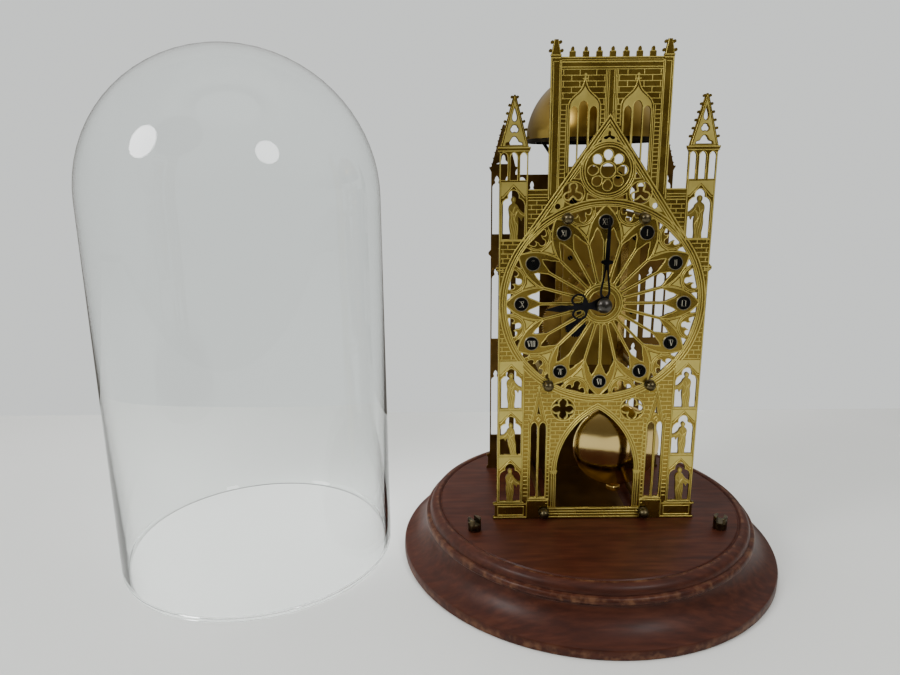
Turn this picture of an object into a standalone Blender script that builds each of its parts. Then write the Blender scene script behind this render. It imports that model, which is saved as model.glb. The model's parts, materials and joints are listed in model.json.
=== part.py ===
"""Gothic skeleton clock with passing strike, under a separate glass dome.

Sizes are in millimetres and turned into metres by MM.  +Z is up, the clock faces -Y, and the
origin is the centre of the base's underside.  Heights in the facade tables are above the plateau
on top of the base.
"""
import math

import bmesh
import bpy

MM = 0.001
GAP = 0.3                     # clearance between touching solids

# ---- driving dimensions -------------------------------------------------------------------------
BASE_RADIUS = 139.9
BASE_HEIGHT = 36.4            # underside to plateau
PLATEAU_RADIUS = 111.2
STUD_REACH = 99.5               # slotted dome studs, under the middle of the dome's wall
STUD_BEARING = math.radians(-29.0)

FRONT_Y = -33.5               # visible face of the front facade
PLATE_THICKNESS = 2.5
FACADE_SPACING = 90.0         # front face to the near face of the back facade
BACK_Y = FRONT_Y + FACADE_SPACING

DIAL_HEIGHT = 159.6           # dial centre above the plateau
DIAL_Z = BASE_HEIGHT + DIAL_HEIGHT

MOVEMENT_FRONT = 4.0          # outer face of the movement's front plate
MOVEMENT_BACK = 40.0          # outer face of its back plate
MOVEMENT_PLATE = 2.0

PENDULUM_X = 21.5
PENDULUM_HEIGHT = 200.0       # swing axis above the plateau
BOB_HEIGHT = 44.8
BOB_RADIUS = 32.5

BELL_Y = 25.0
BELL_RIM_HEIGHT = 269.5
BELL_RADIUS = 47.0

DOME_X = -252.6
DOME_RADIUS = 101.0
DOME_HEIGHT = 368.0
DOME_WALL = 3.0

# gear train, as offsets (x, z) from the dial centre
GREAT_TEETH, CENTRE_LEAVES = 80, 10
CENTRE_TEETH, THIRD_LEAVES = 84, 7
THIRD_TEETH, ESCAPE_LEAVES = 88, 7
CANNON_LEAVES, MINUTE_TEETH, CANNON_MODULE = 12, 36, 0.5
MINUTE_LEAVES, HOUR_TEETH, HOUR_MODULE = 10, 40, 0.48
ESCAPE_TEETH, ESCAPE_RADIUS = 30, 11.0
RATCHET_TEETH, RATCHET_RADIUS = 24, 8.0

CENTRE = (0.0, 0.0)
BARREL = (-11.0, -23.83)
THIRD = (-2.86, 20.88)
ESCAPE = (14.2, 26.6)
ANCHOR = (PENDULUM_X, PENDULUM_HEIGHT - DIAL_HEIGHT)
MINUTE = (-9.6, 7.2)
GREAT_MODULE = 2 * math.dist(BARREL, CENTRE) / (GREAT_TEETH + CENTRE_LEAVES)
CENTRE_MODULE = 2 * math.dist(CENTRE, THIRD) / (CENTRE_TEETH + THIRD_LEAVES)
THIRD_MODULE = 2 * math.dist(THIRD, ESCAPE) / (THIRD_TEETH + ESCAPE_LEAVES)
HAMMER = (-8.0, 238.0 - DIAL_HEIGHT)
CLICK_REACH, CLICK_BEARING = 11.2, 78.0       # its pivot, from the barrel's centre

# ---- scene, collections, materials --------------------------------------------------------------
for old in list(bpy.data.objects):
    bpy.data.objects.remove(old, do_unlink=True)

clock = bpy.data.collections.new("skeleton_clock")
cutters = bpy.data.collections.new("cutters")
bpy.context.scene.collection.children.link(clock)
bpy.context.scene.collection.children.link(cutters)


def material(name, rgb, metallic, roughness, alpha=1.0):
    """A Principled material with one colour."""
    made = bpy.data.materials.new(name)
    made.use_nodes = True
    shader = made.node_tree.nodes["Principled BSDF"]
    shader.inputs["Base Color"].default_value = (*rgb, 1.0)
    shader.inputs["Metallic"].default_value = metallic
    shader.inputs["Roughness"].default_value = roughness
    shader.inputs["Alpha"].default_value = alpha
    return made


MAHOGANY = material("mahogany", (0.11, 0.028, 0.016), 0.0, 0.35)
ETCHED = material("etched_brass", (0.42, 0.31, 0.08), 1.0, 0.42)
DARK_BRASS = material("dark_brass", (0.16, 0.09, 0.03), 1.0, 0.4)
BRASS = material("polished_brass", (0.66, 0.45, 0.16), 1.0, 0.2)
ANTIQUE = material("antique_brass", (0.2, 0.15, 0.08), 1.0, 0.35)
ENAMEL = material("black_enamel", (0.012, 0.012, 0.012), 0.0, 0.3)
STEEL = material("blued_steel", (0.03, 0.03, 0.035), 1.0, 0.35)
GLASS = material("clear_glass", (0.95, 0.97, 0.97), 0.0, 0.03, 0.2)


# ---- building helpers ---------------------------------------------------------------------------
def mm(*values):
    """Millimetres to metres."""
    return tuple(value * MM for value in values)


def add(name, data, finish, at, group=clock):
    """Put a mesh or curve in the model at a place in millimetres."""
    made = bpy.data.objects.new(name, data)
    made.data.materials.append(finish)
    made.location = mm(*at)
    group.objects.link(made)
    return made


def cutter(made):
    """Keep an object only as an operand of a Boolean."""
    clock.objects.unlink(made)
    cutters.objects.link(made)
    made.hide_render = True
    made.display_type = "WIRE"
    return made


def boolean(target, operand, operation):
    """Join or cut the target with an operand, which becomes a cutter."""
    step = target.modifiers.new(operand.name, "BOOLEAN")
    step.operation = operation
    step.solver = "EXACT"
    step.object = cutter(operand)
    return target


def as_mesh(curve_object):
    """Replace a curve object by a welded mesh object of the same name."""
    bpy.context.view_layer.update()
    evaluated = curve_object.evaluated_get(bpy.context.evaluated_depsgraph_get())
    mesh = bpy.data.meshes.new_from_object(evaluated)
    welded = bmesh.new()
    welded.from_mesh(mesh)
    bmesh.ops.remove_doubles(welded, verts=welded.verts, dist=0.00001)
    welded.to_mesh(mesh)
    welded.free()
    name = curve_object.name
    made = bpy.data.objects.new(name + "_mesh", mesh)
    made.matrix_world = curve_object.matrix_world
    clock.objects.link(made)
    bpy.data.objects.remove(curve_object, do_unlink=True)
    made.name = name
    return made


def flat(name, loops, near, far, finish, at=(0.0, 0.0)):
    """A plate in the XZ plane from y = near to y = far: the first loop is its edge, the rest holes.

    Loops are (x, z) points relative to at, which is (x, z) in the world.
    """
    curve = bpy.data.curves.new(name, "CURVE")
    curve.dimensions = "2D"
    curve.fill_mode = "BOTH"
    curve.extrude = (far - near) / 2 * MM
    for loop in loops:
        spline = curve.splines.new("POLY")
        spline.points.add(len(loop) - 1)
        for point, (x, z) in zip(spline.points, loop):
            point.co = (x * MM, z * MM, 0.0, 1.0)
        spline.use_cyclic_u = True
    made = add(name, curve, finish, (at[0], (near + far) / 2, at[1]))
    made.rotation_euler = (math.pi / 2, 0.0, 0.0)
    return made


def rod(name, radius, near, far, finish, at, sides=12):
    """A round bar along Y."""
    return flat(name, [ring(radius, sides)], near, far, finish, at)


def turned(name, profile, finish, at, steps=32):
    """A body turned about Z from a profile of (radius, z) points that runs down its outer side."""
    mesh = bpy.data.meshes.new(name)
    points = [(radius * MM, 0.0, z * MM) for radius, z in profile]
    closed = profile[0][0] > 0.0
    edges = [(i, i + 1) for i in range(len(points) - 1)]
    if closed:
        edges.append((len(points) - 1, 0))
    mesh.from_pydata(points, edges, [])
    made = add(name, mesh, finish, at)
    screw = made.modifiers.new("turn", "SCREW")
    screw.steps = steps
    screw.render_steps = steps
    screw.use_merge_vertices = True
    screw.merge_threshold = 0.00001
    return made


def box(name, low, high, finish):
    """A rectangular block between two corners."""
    made_mesh = bmesh.new()
    bmesh.ops.create_cube(made_mesh, size=1.0)
    size = [(b - a) * MM for a, b in zip(low, high)]
    bmesh.ops.scale(made_mesh, vec=size, verts=made_mesh.verts)
    mesh = bpy.data.meshes.new(name)
    made_mesh.to_mesh(mesh)
    made_mesh.free()
    return add(name, mesh, finish, [(a + b) / 2 for a, b in zip(low, high)])


# ---- outlines -----------------------------------------------------------------------------------
def ring(radius, sides, centre=(0.0, 0.0), start=0.0):
    """A regular polygon about a centre."""
    return [(centre[0] + radius * math.cos(start + 2 * math.pi * i / sides),
             centre[1] + radius * math.sin(start + 2 * math.pi * i / sides)) for i in range(sides)]


def arc(centre, radius, first, last, count):
    """Points on an arc, angles in degrees."""
    return [(centre[0] + radius * math.cos(math.radians(first + (last - first) * i / count)),
             centre[1] + radius * math.sin(math.radians(first + (last - first) * i / count)))
            for i in range(count + 1)]


def polar(points):
    """Points given as (radius, bearing in degrees)."""
    return [(r * math.cos(math.radians(a)), r * math.sin(math.radians(a))) for r, a in points]


def mirrored(loop):
    """The same loop on the other side of the centre line."""
    return [(-x, z) for x, z in reversed(loop)]


def moved(loop, dx, dz):
    """A loop shifted by an offset."""
    return [(x + dx, z + dz) for x, z in loop]


def lancet(left, right, sill, spring, top):
    """A light with straight sides and a pointed head."""
    middle = (left + right) / 2
    shoulder = (top - spring) * 0.55
    return [(left, sill), (right, sill), (right, spring), (right * 0.6 + middle * 0.4, spring + shoulder),
            (middle, top), (left * 0.6 + middle * 0.4, spring + shoulder), (left, spring)]


TOOTH_TIP, TOOTH_ROOT = 0.6, 1.2       # beyond and inside the pitch circle, in modules


def gear(teeth, module, phase=0.0):
    """The edge of a wheel with pointed teeth, one of them on phase (degrees)."""
    pitch_radius = teeth * module / 2
    points = []
    for i in range(teeth):
        for radius, share in ((pitch_radius - TOOTH_ROOT * module, -0.5),
                              (pitch_radius + TOOTH_TIP * module, 0.0)):
            angle = math.radians(phase + (i + share) * 360.0 / teeth)
            points.append((radius * math.cos(angle), radius * math.sin(angle)))
    return points


def pinion(leaves, module, direction):
    """The edge of a pinion with blunt leaves and a gap facing a direction (degrees)."""
    pitch_radius = leaves * module / 2
    root, tip = pitch_radius - TOOTH_ROOT * module, pitch_radius + TOOTH_TIP * module
    points = []
    for i in range(leaves):
        for radius, share in ((root, 0.20), (tip, 0.40), (tip, 0.60), (root, 0.80)):
            angle = math.radians(direction + (i + share) * 360.0 / leaves)
            points.append((radius * math.cos(angle), radius * math.sin(angle)))
    return points


def spoked(rim_radius, hub_radius, spokes, spoke_width, start=0.0):
    """The windows between a wheel's spokes."""
    windows = []
    for i in range(spokes):
        low = start + 360.0 * i / spokes
        high = low + 360.0 / spokes
        outer = math.degrees(spoke_width / 2 / rim_radius)
        inner = math.degrees(spoke_width / 2 / hub_radius)
        windows.append(arc((0, 0), rim_radius, low + outer, high - outer, 3)
                       + arc((0, 0), hub_radius, high - inner, low + inner, 1))
    return windows


def bearing(start, end):
    """The direction from one point to another, in degrees."""
    return math.degrees(math.atan2(end[1] - start[1], end[0] - start[0]))


def on_dial(offset):
    """World (x, z) of an offset from the dial centre."""
    return (offset[0], DIAL_Z + offset[1])


def above_plateau(loop):
    """A facade loop, given above the plateau, in world heights."""
    return moved(loop, 0.0, BASE_HEIGHT + GAP)


# ---- base ---------------------------------------------------------------------------------------
def build_base():
    """Turned mahogany base: plateau, lip, bullnose, cove and skirt."""
    turned("wood_base", [
        (0.0, BASE_HEIGHT), (PLATEAU_RADIUS, BASE_HEIGHT), (PLATEAU_RADIUS + 1.2, BASE_HEIGHT - 1.2),
        (PLATEAU_RADIUS + 2.6, BASE_HEIGHT), (116.6, BASE_HEIGHT - 0.8), (118.9, 33.6), (119.6, 30.6),
        (122.0, 29.8), (123.2, 26.3), (121.8, 24.9), (123.6, 20.6), (130.2, 12.4), (BASE_RADIUS - 0.8, 7.0),
        (BASE_RADIUS, 5.4), (BASE_RADIUS, 0.0), (0.0, 0.0)], MAHOGANY, (0, 0, 0), steps=36)
    box("floor_plate", (-27.0, FRONT_Y + PLATE_THICKNESS + GAP, BASE_HEIGHT + GAP),
        (27.0, BACK_Y - GAP, BASE_HEIGHT + GAP + 1.0), DARK_BRASS)
    for side, name in ((-1, "dome_stud_left"), (1, "dome_stud_right")):
        place = (side * STUD_REACH * math.cos(STUD_BEARING), STUD_REACH * math.sin(STUD_BEARING))
        stud = turned(name, [(0.0, 9.0), (4.3, 9.0), (4.7, 8.6), (4.7, 0.0), (0.0, 0.0)], ANTIQUE,
                      (*place, BASE_HEIGHT + GAP), steps=16)
        slot = box(name + "_slot", (place[0] - 2.0, place[1] - 6.0, BASE_HEIGHT + GAP + 5.4),
                   (place[0] + 2.0, place[1] + 6.0, BASE_HEIGHT + GAP + 12.0), ANTIQUE)
        slot.rotation_euler = (0.0, 0.0, side * STUD_BEARING)
        boolean(stud, slot, "DIFFERENCE")


# ---- facades ------------------------------------------------------------------------------------
COLUMN_OUTER, COLUMN_INNER = 70.6, 51.8
COLUMN_MIDDLE = (COLUMN_OUTER + COLUMN_INNER) / 2
TOWER_HALF = 38.6
WALL_TOP = 236.2
CORNICE = 262.5
TOWER_TOP = 316.5
GABLE_APEX, GABLE_SLOPE = 281.0, 1.439
BOTTOM_STRIP = 8.0
NICHES = ((206.0, 237.0), (84.5, 114.5), (49.5, 78.5), (13.2, 43.5))
LANCETS = ((-47.0, -42.6), (-41.2, -36.8))


def column_edge(cornice, apex):
    """The right column's edge from the plinth round its pinnacle to the wall top inside it."""
    middle = COLUMN_MIDDLE
    return [
        (73.0, 0.0), (73.0, 2.0), (71.6, 2.6), (71.6, 10.6), (72.8, 11.2), (72.8, 12.6),
        (COLUMN_OUTER, 13.2),
        (COLUMN_OUTER, 180.5), (72.3, 182.5), (72.3, 184.5), (COLUMN_OUTER, 186.5),
        (COLUMN_OUTER, cornice - 4.5), (71.9, cornice - 2.2), (71.9, cornice), (COLUMN_OUTER - 1.0, cornice),
        (middle + 1.2, apex - 2.4), (middle + 1.6, apex), (middle - 1.6, apex), (middle - 1.2, apex - 2.4),
        (COLUMN_INNER + 1.0, cornice), (50.5, cornice), (50.5, cornice - 2.2), (COLUMN_INNER, cornice - 4.5)]


def front_edge():
    """Half the front facade's outline, mirrored: columns, wall, tower posts and merlons."""
    half = [(0.0, 0.0)] + column_edge(CORNICE, 294.4)
    half += [(COLUMN_INNER, WALL_TOP), (TOWER_HALF, WALL_TOP), (TOWER_HALF, TOWER_TOP),
             (39.2, 317.2), (39.2, 320.6), (37.6, 321.4), (37.0, 326.8), (34.2, 326.8), (33.6, 321.4),
             (32.0, 320.6), (32.0, TOWER_TOP)]
    for index in (3, 2, 1):
        middle = index * 8.1
        half += [(middle + 1.8, TOWER_TOP), (middle + 1.8, 322.0), (middle - 1.8, 322.0),
                 (middle - 1.8, TOWER_TOP)]
    half += [(1.8, TOWER_TOP), (1.8, 322.0)]
    return half + mirrored(half)[:-1]


def niche(sill, top):
    """A niche round a standing figure, which grows from its sill."""
    left, right, middle = COLUMN_MIDDLE - 7.4, COLUMN_MIDDLE + 7.4, COLUMN_MIDDLE
    tall = top - sill
    figure = [(middle + 2.2, 0.0), (middle + 2.6, 0.3), (middle + 3.2, 0.55), (middle + 1.2, 0.72),
              (middle + 1.1, 0.86), (middle - 1.1, 0.86), (middle - 1.2, 0.72), (middle - 3.2, 0.55),
              (middle - 2.6, 0.3), (middle - 2.2, 0.0)]
    body = [(x, sill + share * tall) for x, share in reversed(figure)]
    return ([(left, sill)] + body + [(right, sill), (right, sill + 0.68 * tall),
                                     (middle + 5.4, sill + 0.84 * tall),
            (middle + 2.8, sill + 0.88 * tall), (middle, top), (middle - 2.8, sill + 0.88 * tall),
            (middle - 5.4, sill + 0.84 * tall), (left, sill + 0.68 * tall)])


def arch():
    """The pointed doorway."""
    half, spring, apex = 27.8, 37.0, 86.0
    radius = ((apex - spring) ** 2 + half ** 2) / (2 * half)
    sweep = math.degrees(math.asin((apex - spring) / radius))
    right = arc((half - radius, spring), radius, 0.0, sweep, 6)
    return [(-half, BOTTOM_STRIP), (half, BOTTOM_STRIP)] + right + mirrored(right)[1:]


def petal_window(middle):
    """One light of the dial's wheel window, between two spokes; middle is its bearing in degrees."""
    shape = ((14.8, 2.6), (40.5, 5.9), (45.5, 3.4), (51.0, 0.0))
    right = [(radius, -turn) for radius, turn in shape]
    left = [(radius, turn) for radius, turn in reversed(shape[:-1])]
    return [(radius * math.cos(math.radians(middle + turn)),
             DIAL_HEIGHT + radius * math.sin(math.radians(middle + turn)))
            for radius, turn in right + left]


def spandrel(middle):
    """The opening between two petals and the dial's ring."""
    shape = ((64.4, -7.0), (64.4, 7.0), (60.5, 5.6), (57.0, 3.2), (55.5, 0.0), (57.0, -3.2), (60.5, -5.6))
    return [(radius * math.cos(math.radians(middle + turn)),
             DIAL_HEIGHT + radius * math.sin(math.radians(middle + turn)))
            for radius, turn in shape]


def tower_window(light):
    """One of the three lights of the right tower window, cut off by the gable."""
    left, right, spring, top = light
    low_left = GABLE_APEX + 1.6 - GABLE_SLOPE * left
    low_right = GABLE_APEX + 1.6 - GABLE_SLOPE * right
    return [(left, low_left), (right, low_right)] + lancet(left, right, 0.0, spring, top)[2:]


def front_openings():
    """Every through opening of the front facade."""
    one_side = [niche(*level) for level in NICHES]
    one_side += [mirrored(lancet(left, right, 17.0, 69.5, 74.5)) for left, right in LANCETS]
    one_side += [tower_window(light) for light in ((8.2, 12.6, 283.5, 286.8), (14.2, 19.8, 287.0, 290.4),
                                                   (21.4, 25.8, 283.5, 286.8))]
    one_side += [lancet(COLUMN_MIDDLE + shift - 2.0, COLUMN_MIDDLE + shift + 2.0, 244.0, 255.6, 258.4)
                 for shift in (-6.0, 0.0, 6.0)]
    one_side += [ring(7.6, 12, (24.5, 84.5)), ring(7.0, 10, (22.9, 233.5)),
                 ring(2.2, 8, (COLUMN_MIDDLE, 272.6))]
    one_side += [[(COLUMN_MIDDLE - 1.2, 277.0), (COLUMN_MIDDLE + 1.2, 277.0), (COLUMN_MIDDLE, 283.0)],
                 [(COLUMN_MIDDLE - 5.0, 264.0), (COLUMN_MIDDLE + 5.0, 264.0), (COLUMN_MIDDLE, 268.6)]]
    one_side += [[(39.6, 79.5), (42.0, 79.5), (40.9, 87.0)]]
    loops = []
    for loop in one_side:
        loops += [loop, mirrored(loop)]
    loops += [petal_window(7.5 + 15.0 * i) for i in range(24)]
    loops += [spandrel(15.0 + 30.0 * i) for i in range(12)]
    loops += [ring(2.3, 6, (9.8 * math.cos(math.radians(45 * i)),
                            247.2 + 9.8 * math.sin(math.radians(45 * i))))
              for i in range(8)]
    loops += [arch(), ring(8.8, 16, (0.0, DIAL_HEIGHT)), ring(4.4, 10, (0.0, 247.2))]
    return loops


def back_edge():
    """Half the plain back facade's outline, mirrored; its wall carries a low gable under the bell."""
    half = [(0.0, 0.0)] + column_edge(250.5, 281.6)
    half += [(COLUMN_INNER, 244.3), (11.5, 244.3), (0.0, 258.5)]
    return half + mirrored(half[1:-1])


def back_openings():
    """Tall plain lights, and the hole for the winding square."""
    lights = [(middle - 3.1, middle + 3.1, sill, top) for middle in (57.9, 66.2)
              for sill, top in ((198.5, 241.5), (113.4, 172.0), (29.6, 87.0))]
    lights += [(43.8, 50.4, 113.4, 172.0), (43.8, 50.4, 29.6, 109.5), (35.8, 41.6, 198.5, 239.5)]
    loops = []
    for left, right, sill, top in lights:
        loop = lancet(left, right, sill, top - 6.0, top)
        loops += [loop, mirrored(loop)]
    return loops + [ring(4.0, 12, (BARREL[0], DIAL_HEIGHT + BARREL[1]))]


def build_facades():
    """Both pierced plates."""
    flat("front_plate", [above_plateau(loop) for loop in [front_edge()] + front_openings()],
         FRONT_Y, FRONT_Y + PLATE_THICKNESS, ETCHED)
    flat("back_plate", [above_plateau(loop) for loop in [back_edge()] + back_openings()],
         BACK_Y, BACK_Y + PLATE_THICKNESS, DARK_BRASS)


PILLARS = {"top": (25.2, 216.7), "middle": (35.3, 102.0), "foot": (36.1, 5.2)}


def build_pillars():
    """Six pillars between the facades, and the acorn nuts on the front."""
    dome_nut = [(0.0, 6.2), (1.1, 6.0), (2.4, 5.0), (3.3, 3.4), (3.8, 1.8), (3.8, 0.0), (0.0, 0.0)]
    for level, (x, height) in PILLARS.items():
        for side, hand in ((-1, "left"), (1, "right")):
            z = BASE_HEIGHT + GAP + height
            rod(f"pillar_{level}_{hand}", 2.5, FRONT_Y + PLATE_THICKNESS + GAP, BACK_Y - GAP, BRASS,
                (side * x, z))
            nut = turned(f"nut_{level}_{hand}", dome_nut, ANTIQUE, (side * x, FRONT_Y - GAP, z), steps=12)
            nut.rotation_euler = (math.pi / 2, 0.0, 0.0)


def build_numerals():
    """Twelve round numeral plaques on the dial."""
    for hour in range(1, 13):
        turn = math.radians(90 - 30 * hour)
        place = (54.9 * math.cos(turn), DIAL_Z + GAP + 54.9 * math.sin(turn))
        rod(f"numeral_disc_{hour:02d}", 4.1, FRONT_Y - GAP - 0.7, FRONT_Y - GAP, ENAMEL, place, sides=16)


# ---- movement -----------------------------------------------------------------------------------
PIVOT = 1.0
PIVOT_HOLE = 1.5
MOVEMENT_PILLARS = {"upper_left": (-15.5, 226.0), "upper_right": (15.5, 244.0),
                    "lower_left": (-17.4, 109.6), "lower_right": (20.0, 109.6)}


def build_movement_frame():
    """Two stepped plates on four pillars, the standoffs to the back facade and the bell's bridge."""
    edge = [(-21.0, 106.0), (24.0, 106.0), (24.0, 140.0), (34.0, 140.0), (34.0, 212.0), (20.0, 212.0),
            (20.0, 250.0), (-19.0, 250.0), (-19.0, 212.0), (-21.0, 210.0)]
    pivots = [ring(PIVOT_HOLE, 8, (x, z + DIAL_HEIGHT)) for x, z in (THIRD, ESCAPE, ANCHOR, HAMMER)]
    pivots += [ring(1.8, 10, (0.0, DIAL_HEIGHT)), ring(2.8, 12, (BARREL[0], DIAL_HEIGHT + BARREL[1]))]
    motion = [ring(PIVOT_HOLE, 8, (MINUTE[0], DIAL_HEIGHT + MINUTE[1]))]
    flat("movement_front_plate", [above_plateau(loop) for loop in [edge] + pivots + motion],
         MOVEMENT_FRONT, MOVEMENT_FRONT + MOVEMENT_PLATE, BRASS)
    back = as_mesh(flat("movement_back_plate", [above_plateau(loop) for loop in [edge] + pivots],
                        MOVEMENT_BACK - MOVEMENT_PLATE, MOVEMENT_BACK, BRASS))
    inner = (MOVEMENT_FRONT + MOVEMENT_PLATE + GAP, MOVEMENT_BACK - MOVEMENT_PLATE - GAP)
    for name, (x, height) in MOVEMENT_PILLARS.items():
        z = BASE_HEIGHT + GAP + height
        rod("movement_pillar_" + name, 2.8, *inner, BRASS, (x, z), sides=10)
    for name, (x, height) in (("upper", (0.0, 226.0)), ("lower", (0.0, 112.0))):
        standoff = rod("standoff_" + name, 3.2, MOVEMENT_BACK - 1.0, BACK_Y - GAP, BRASS,
                       (x, BASE_HEIGHT + GAP + height), sides=10)
        boolean(back, as_mesh(standoff), "UNION")


def wheel_work(name, at, finish, arbor, wheel=None, leaves=None, arbor_radius=PIVOT):
    """An arbor with a spoked wheel and a pinion on it, as one turning piece."""
    body = as_mesh(rod(name, arbor_radius, *arbor, finish, at, sides=10))
    if wheel:
        loops, near, far = wheel
        boolean(body, as_mesh(flat(name + "_wheel", loops, near, far, finish, at)), "UNION")
    if leaves:
        loops, near, far = leaves
        boolean(body, as_mesh(flat(name + "_pinion", loops, near, far, finish, at)), "UNION")
    return body


def build_train():
    """Barrel, centre, third and escape wheels, in mesh at rest."""
    centre, barrel, third, escape = (on_dial(p) for p in (CENTRE, BARREL, THIRD, ESCAPE))
    toward_barrel, toward_third = bearing(CENTRE, BARREL), bearing(CENTRE, THIRD)
    toward_escape = bearing(THIRD, ESCAPE)

    great = [gear(GREAT_TEETH, GREAT_MODULE, phase=toward_barrel + 180), ring(4.0, 12)]
    drum = as_mesh(flat("going_barrel", [ring(19.0, 24), ring(2.7, 12)], 11.0, 27.0, BRASS, barrel))
    boolean(drum, as_mesh(flat("great_wheel", great, 9.0, 11.6, BRASS, barrel)), "UNION")

    wheel = [gear(CENTRE_TEETH, CENTRE_MODULE, phase=toward_third)] + spoked(15.6, 4.2, 5, 2.6)
    wheel_work("centre_wheel", centre, BRASS, (-41.2, 41.6), (wheel, 30.0, 31.6),
               ([pinion(CENTRE_LEAVES, GREAT_MODULE, toward_barrel)], 8.0, 13.0), 1.3)

    wheel = [gear(THIRD_TEETH, THIRD_MODULE, phase=toward_escape)] + spoked(13.4, 4.0, 5, 2.4)
    wheel_work("third_wheel", third, BRASS, (3.4, 40.6), (wheel, 20.0, 21.6),
               ([pinion(THIRD_LEAVES, CENTRE_MODULE, toward_third + 180)], 28.4, 33.2))

    teeth = []
    for i in range(ESCAPE_TEETH):
        for radius, share in ((ESCAPE_RADIUS - 1.9, 0.0), (ESCAPE_RADIUS, 0.62),
                              (ESCAPE_RADIUS - 1.9, 0.72)):
            angle = 2 * math.pi * (i + share) / ESCAPE_TEETH
            teeth.append((radius * math.cos(angle), radius * math.sin(angle)))
    wheel_work("escape_wheel", escape, BRASS, (3.4, 40.6), ([teeth] + spoked(7.6, 2.8, 4, 1.8), 11.0, 12.4),
               ([pinion(ESCAPE_LEAVES, THIRD_MODULE, toward_escape + 180)], 18.4, 23.2))


def build_motion_work():
    """Cannon pinion, minute wheel and hour wheel with its pipe."""
    toward = bearing(CENTRE, MINUTE)
    centre, minute = on_dial(CENTRE), on_dial(MINUTE)
    cannon = [pinion(CANNON_LEAVES, CANNON_MODULE, toward), ring(1.65, 12)]
    flat("cannon_pinion", cannon, 0.3, 3.5, BRASS, centre)
    wheel_work("minute_wheel", minute, BRASS, (-5.2, 6.6),
               ([gear(MINUTE_TEETH, CANNON_MODULE, phase=toward + 180)] + spoked(6.6, 3.4, 4, 1.8), 0.8,
                2.2),
               ([pinion(MINUTE_LEAVES, HOUR_MODULE, toward + 180)], -4.8, 1.5))
    pipe = as_mesh(flat("hour_wheel", [ring(3.1, 16), ring(1.8, 12)], -37.0, -0.2, BRASS, centre))
    hour = [gear(HOUR_TEETH, HOUR_MODULE, phase=toward), ring(2.5, 12)] + spoked(7.4, 4.4, 4, 2.0)
    boolean(pipe, as_mesh(flat("hour_wheel_disc", hour, -4.2, -2.8, BRASS, centre)), "UNION")


def build_winding():
    """Winding arbor with its ratchet in front and its square behind, the click and its spring."""
    barrel = on_dial(BARREL)
    teeth = []
    for i in range(RATCHET_TEETH):
        for radius, share in ((RATCHET_RADIUS - 1.2, 0.0), (RATCHET_RADIUS, 0.8)):
            angle = 2 * math.pi * (i + share) / RATCHET_TEETH
            teeth.append((radius * math.cos(angle), radius * math.sin(angle)))
    arbor = wheel_work("winding_arbor", barrel, STEEL, (0.2, 60.6), ([teeth], 0.9, 2.4), arbor_radius=2.3)
    square = as_mesh(flat("winding_square", [ring(2.6, 4, start=math.pi / 4)], 60.0, 69.0, STEEL, barrel))
    boolean(arbor, square, "UNION")
    pivot = polar([(CLICK_REACH, CLICK_BEARING)])[0]
    pawl = polar([(7.25, 32), (8.5, 29.8), (10.0, 34), (11.6, 52), (13.2, 70), (13.2, 84), (11.4, 90),
                  (9.4, 86),
                  (8.7, 70), (8.5, 56), (8.45, 42)])
    flat("click", [moved(pawl, -pivot[0], -pivot[1])], 0.9, 2.4, STEEL,
         (barrel[0] + pivot[0], barrel[1] + pivot[1]))
    spring = polar([(16.4, 14), (17.8, 14), (17.4, 30), (15.2, 48), (13.9, 62), (13.3, 62), (14.4, 48),
                    (16.4, 30)])
    flat("click_spring", [spring], 1.4, 2.0, STEEL, barrel)


def build_escapement():
    """Anchor with its crutch, and the cock that carries the pendulum."""
    pivot = on_dial(ANCHOR)
    lean = bearing(ESCAPE, ANCHOR)
    wheel = (ESCAPE[0] - ANCHOR[0], ESCAPE[1] - ANCHOR[1])
    pallets = (arc(wheel, 14.6, lean - 52, lean + 52, 8) + arc(wheel, 12.4, lean + 52, lean - 52, 8))
    anchor = as_mesh(rod("anchor", PIVOT, 0.6, 40.6, STEEL, pivot, sides=10))
    boolean(anchor, as_mesh(flat("anchor_pallets", [pallets], 11.0, 12.4, STEEL, pivot)), "UNION")
    boolean(anchor, as_mesh(rod("anchor_hub", 2.6, 10.6, 13.0, STEEL, pivot)), "UNION")
    crutch = [(-1.4, -36.0), (1.4, -36.0), (1.9, 0.0), (1.0, 1.0), (-1.0, 1.0), (-1.9, 0.0)]
    boolean(anchor, as_mesh(flat("anchor_crutch", [crutch], 1.2, 2.2, STEEL, pivot)), "UNION")
    fork = box("anchor_fork", (PENDULUM_X - 4.4, -2.6, pivot[1] - 37.0),
               (PENDULUM_X + 4.4, 1.9, pivot[1] - 34.8), STEEL)
    slot = box("anchor_fork_slot", (PENDULUM_X - 2.9, -4.0, pivot[1] - 40.0),
               (PENDULUM_X + 2.9, 0.2, pivot[1] - 32.0), STEEL)
    boolean(anchor, fork, "UNION")
    boolean(anchor, slot, "DIFFERENCE")
    box("suspension_cock", (PENDULUM_X - 4.5, -4.2, pivot[1] + 1.4),
        (PENDULUM_X + 4.5, MOVEMENT_FRONT - GAP, pivot[1] + 8.0), BRASS)


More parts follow.
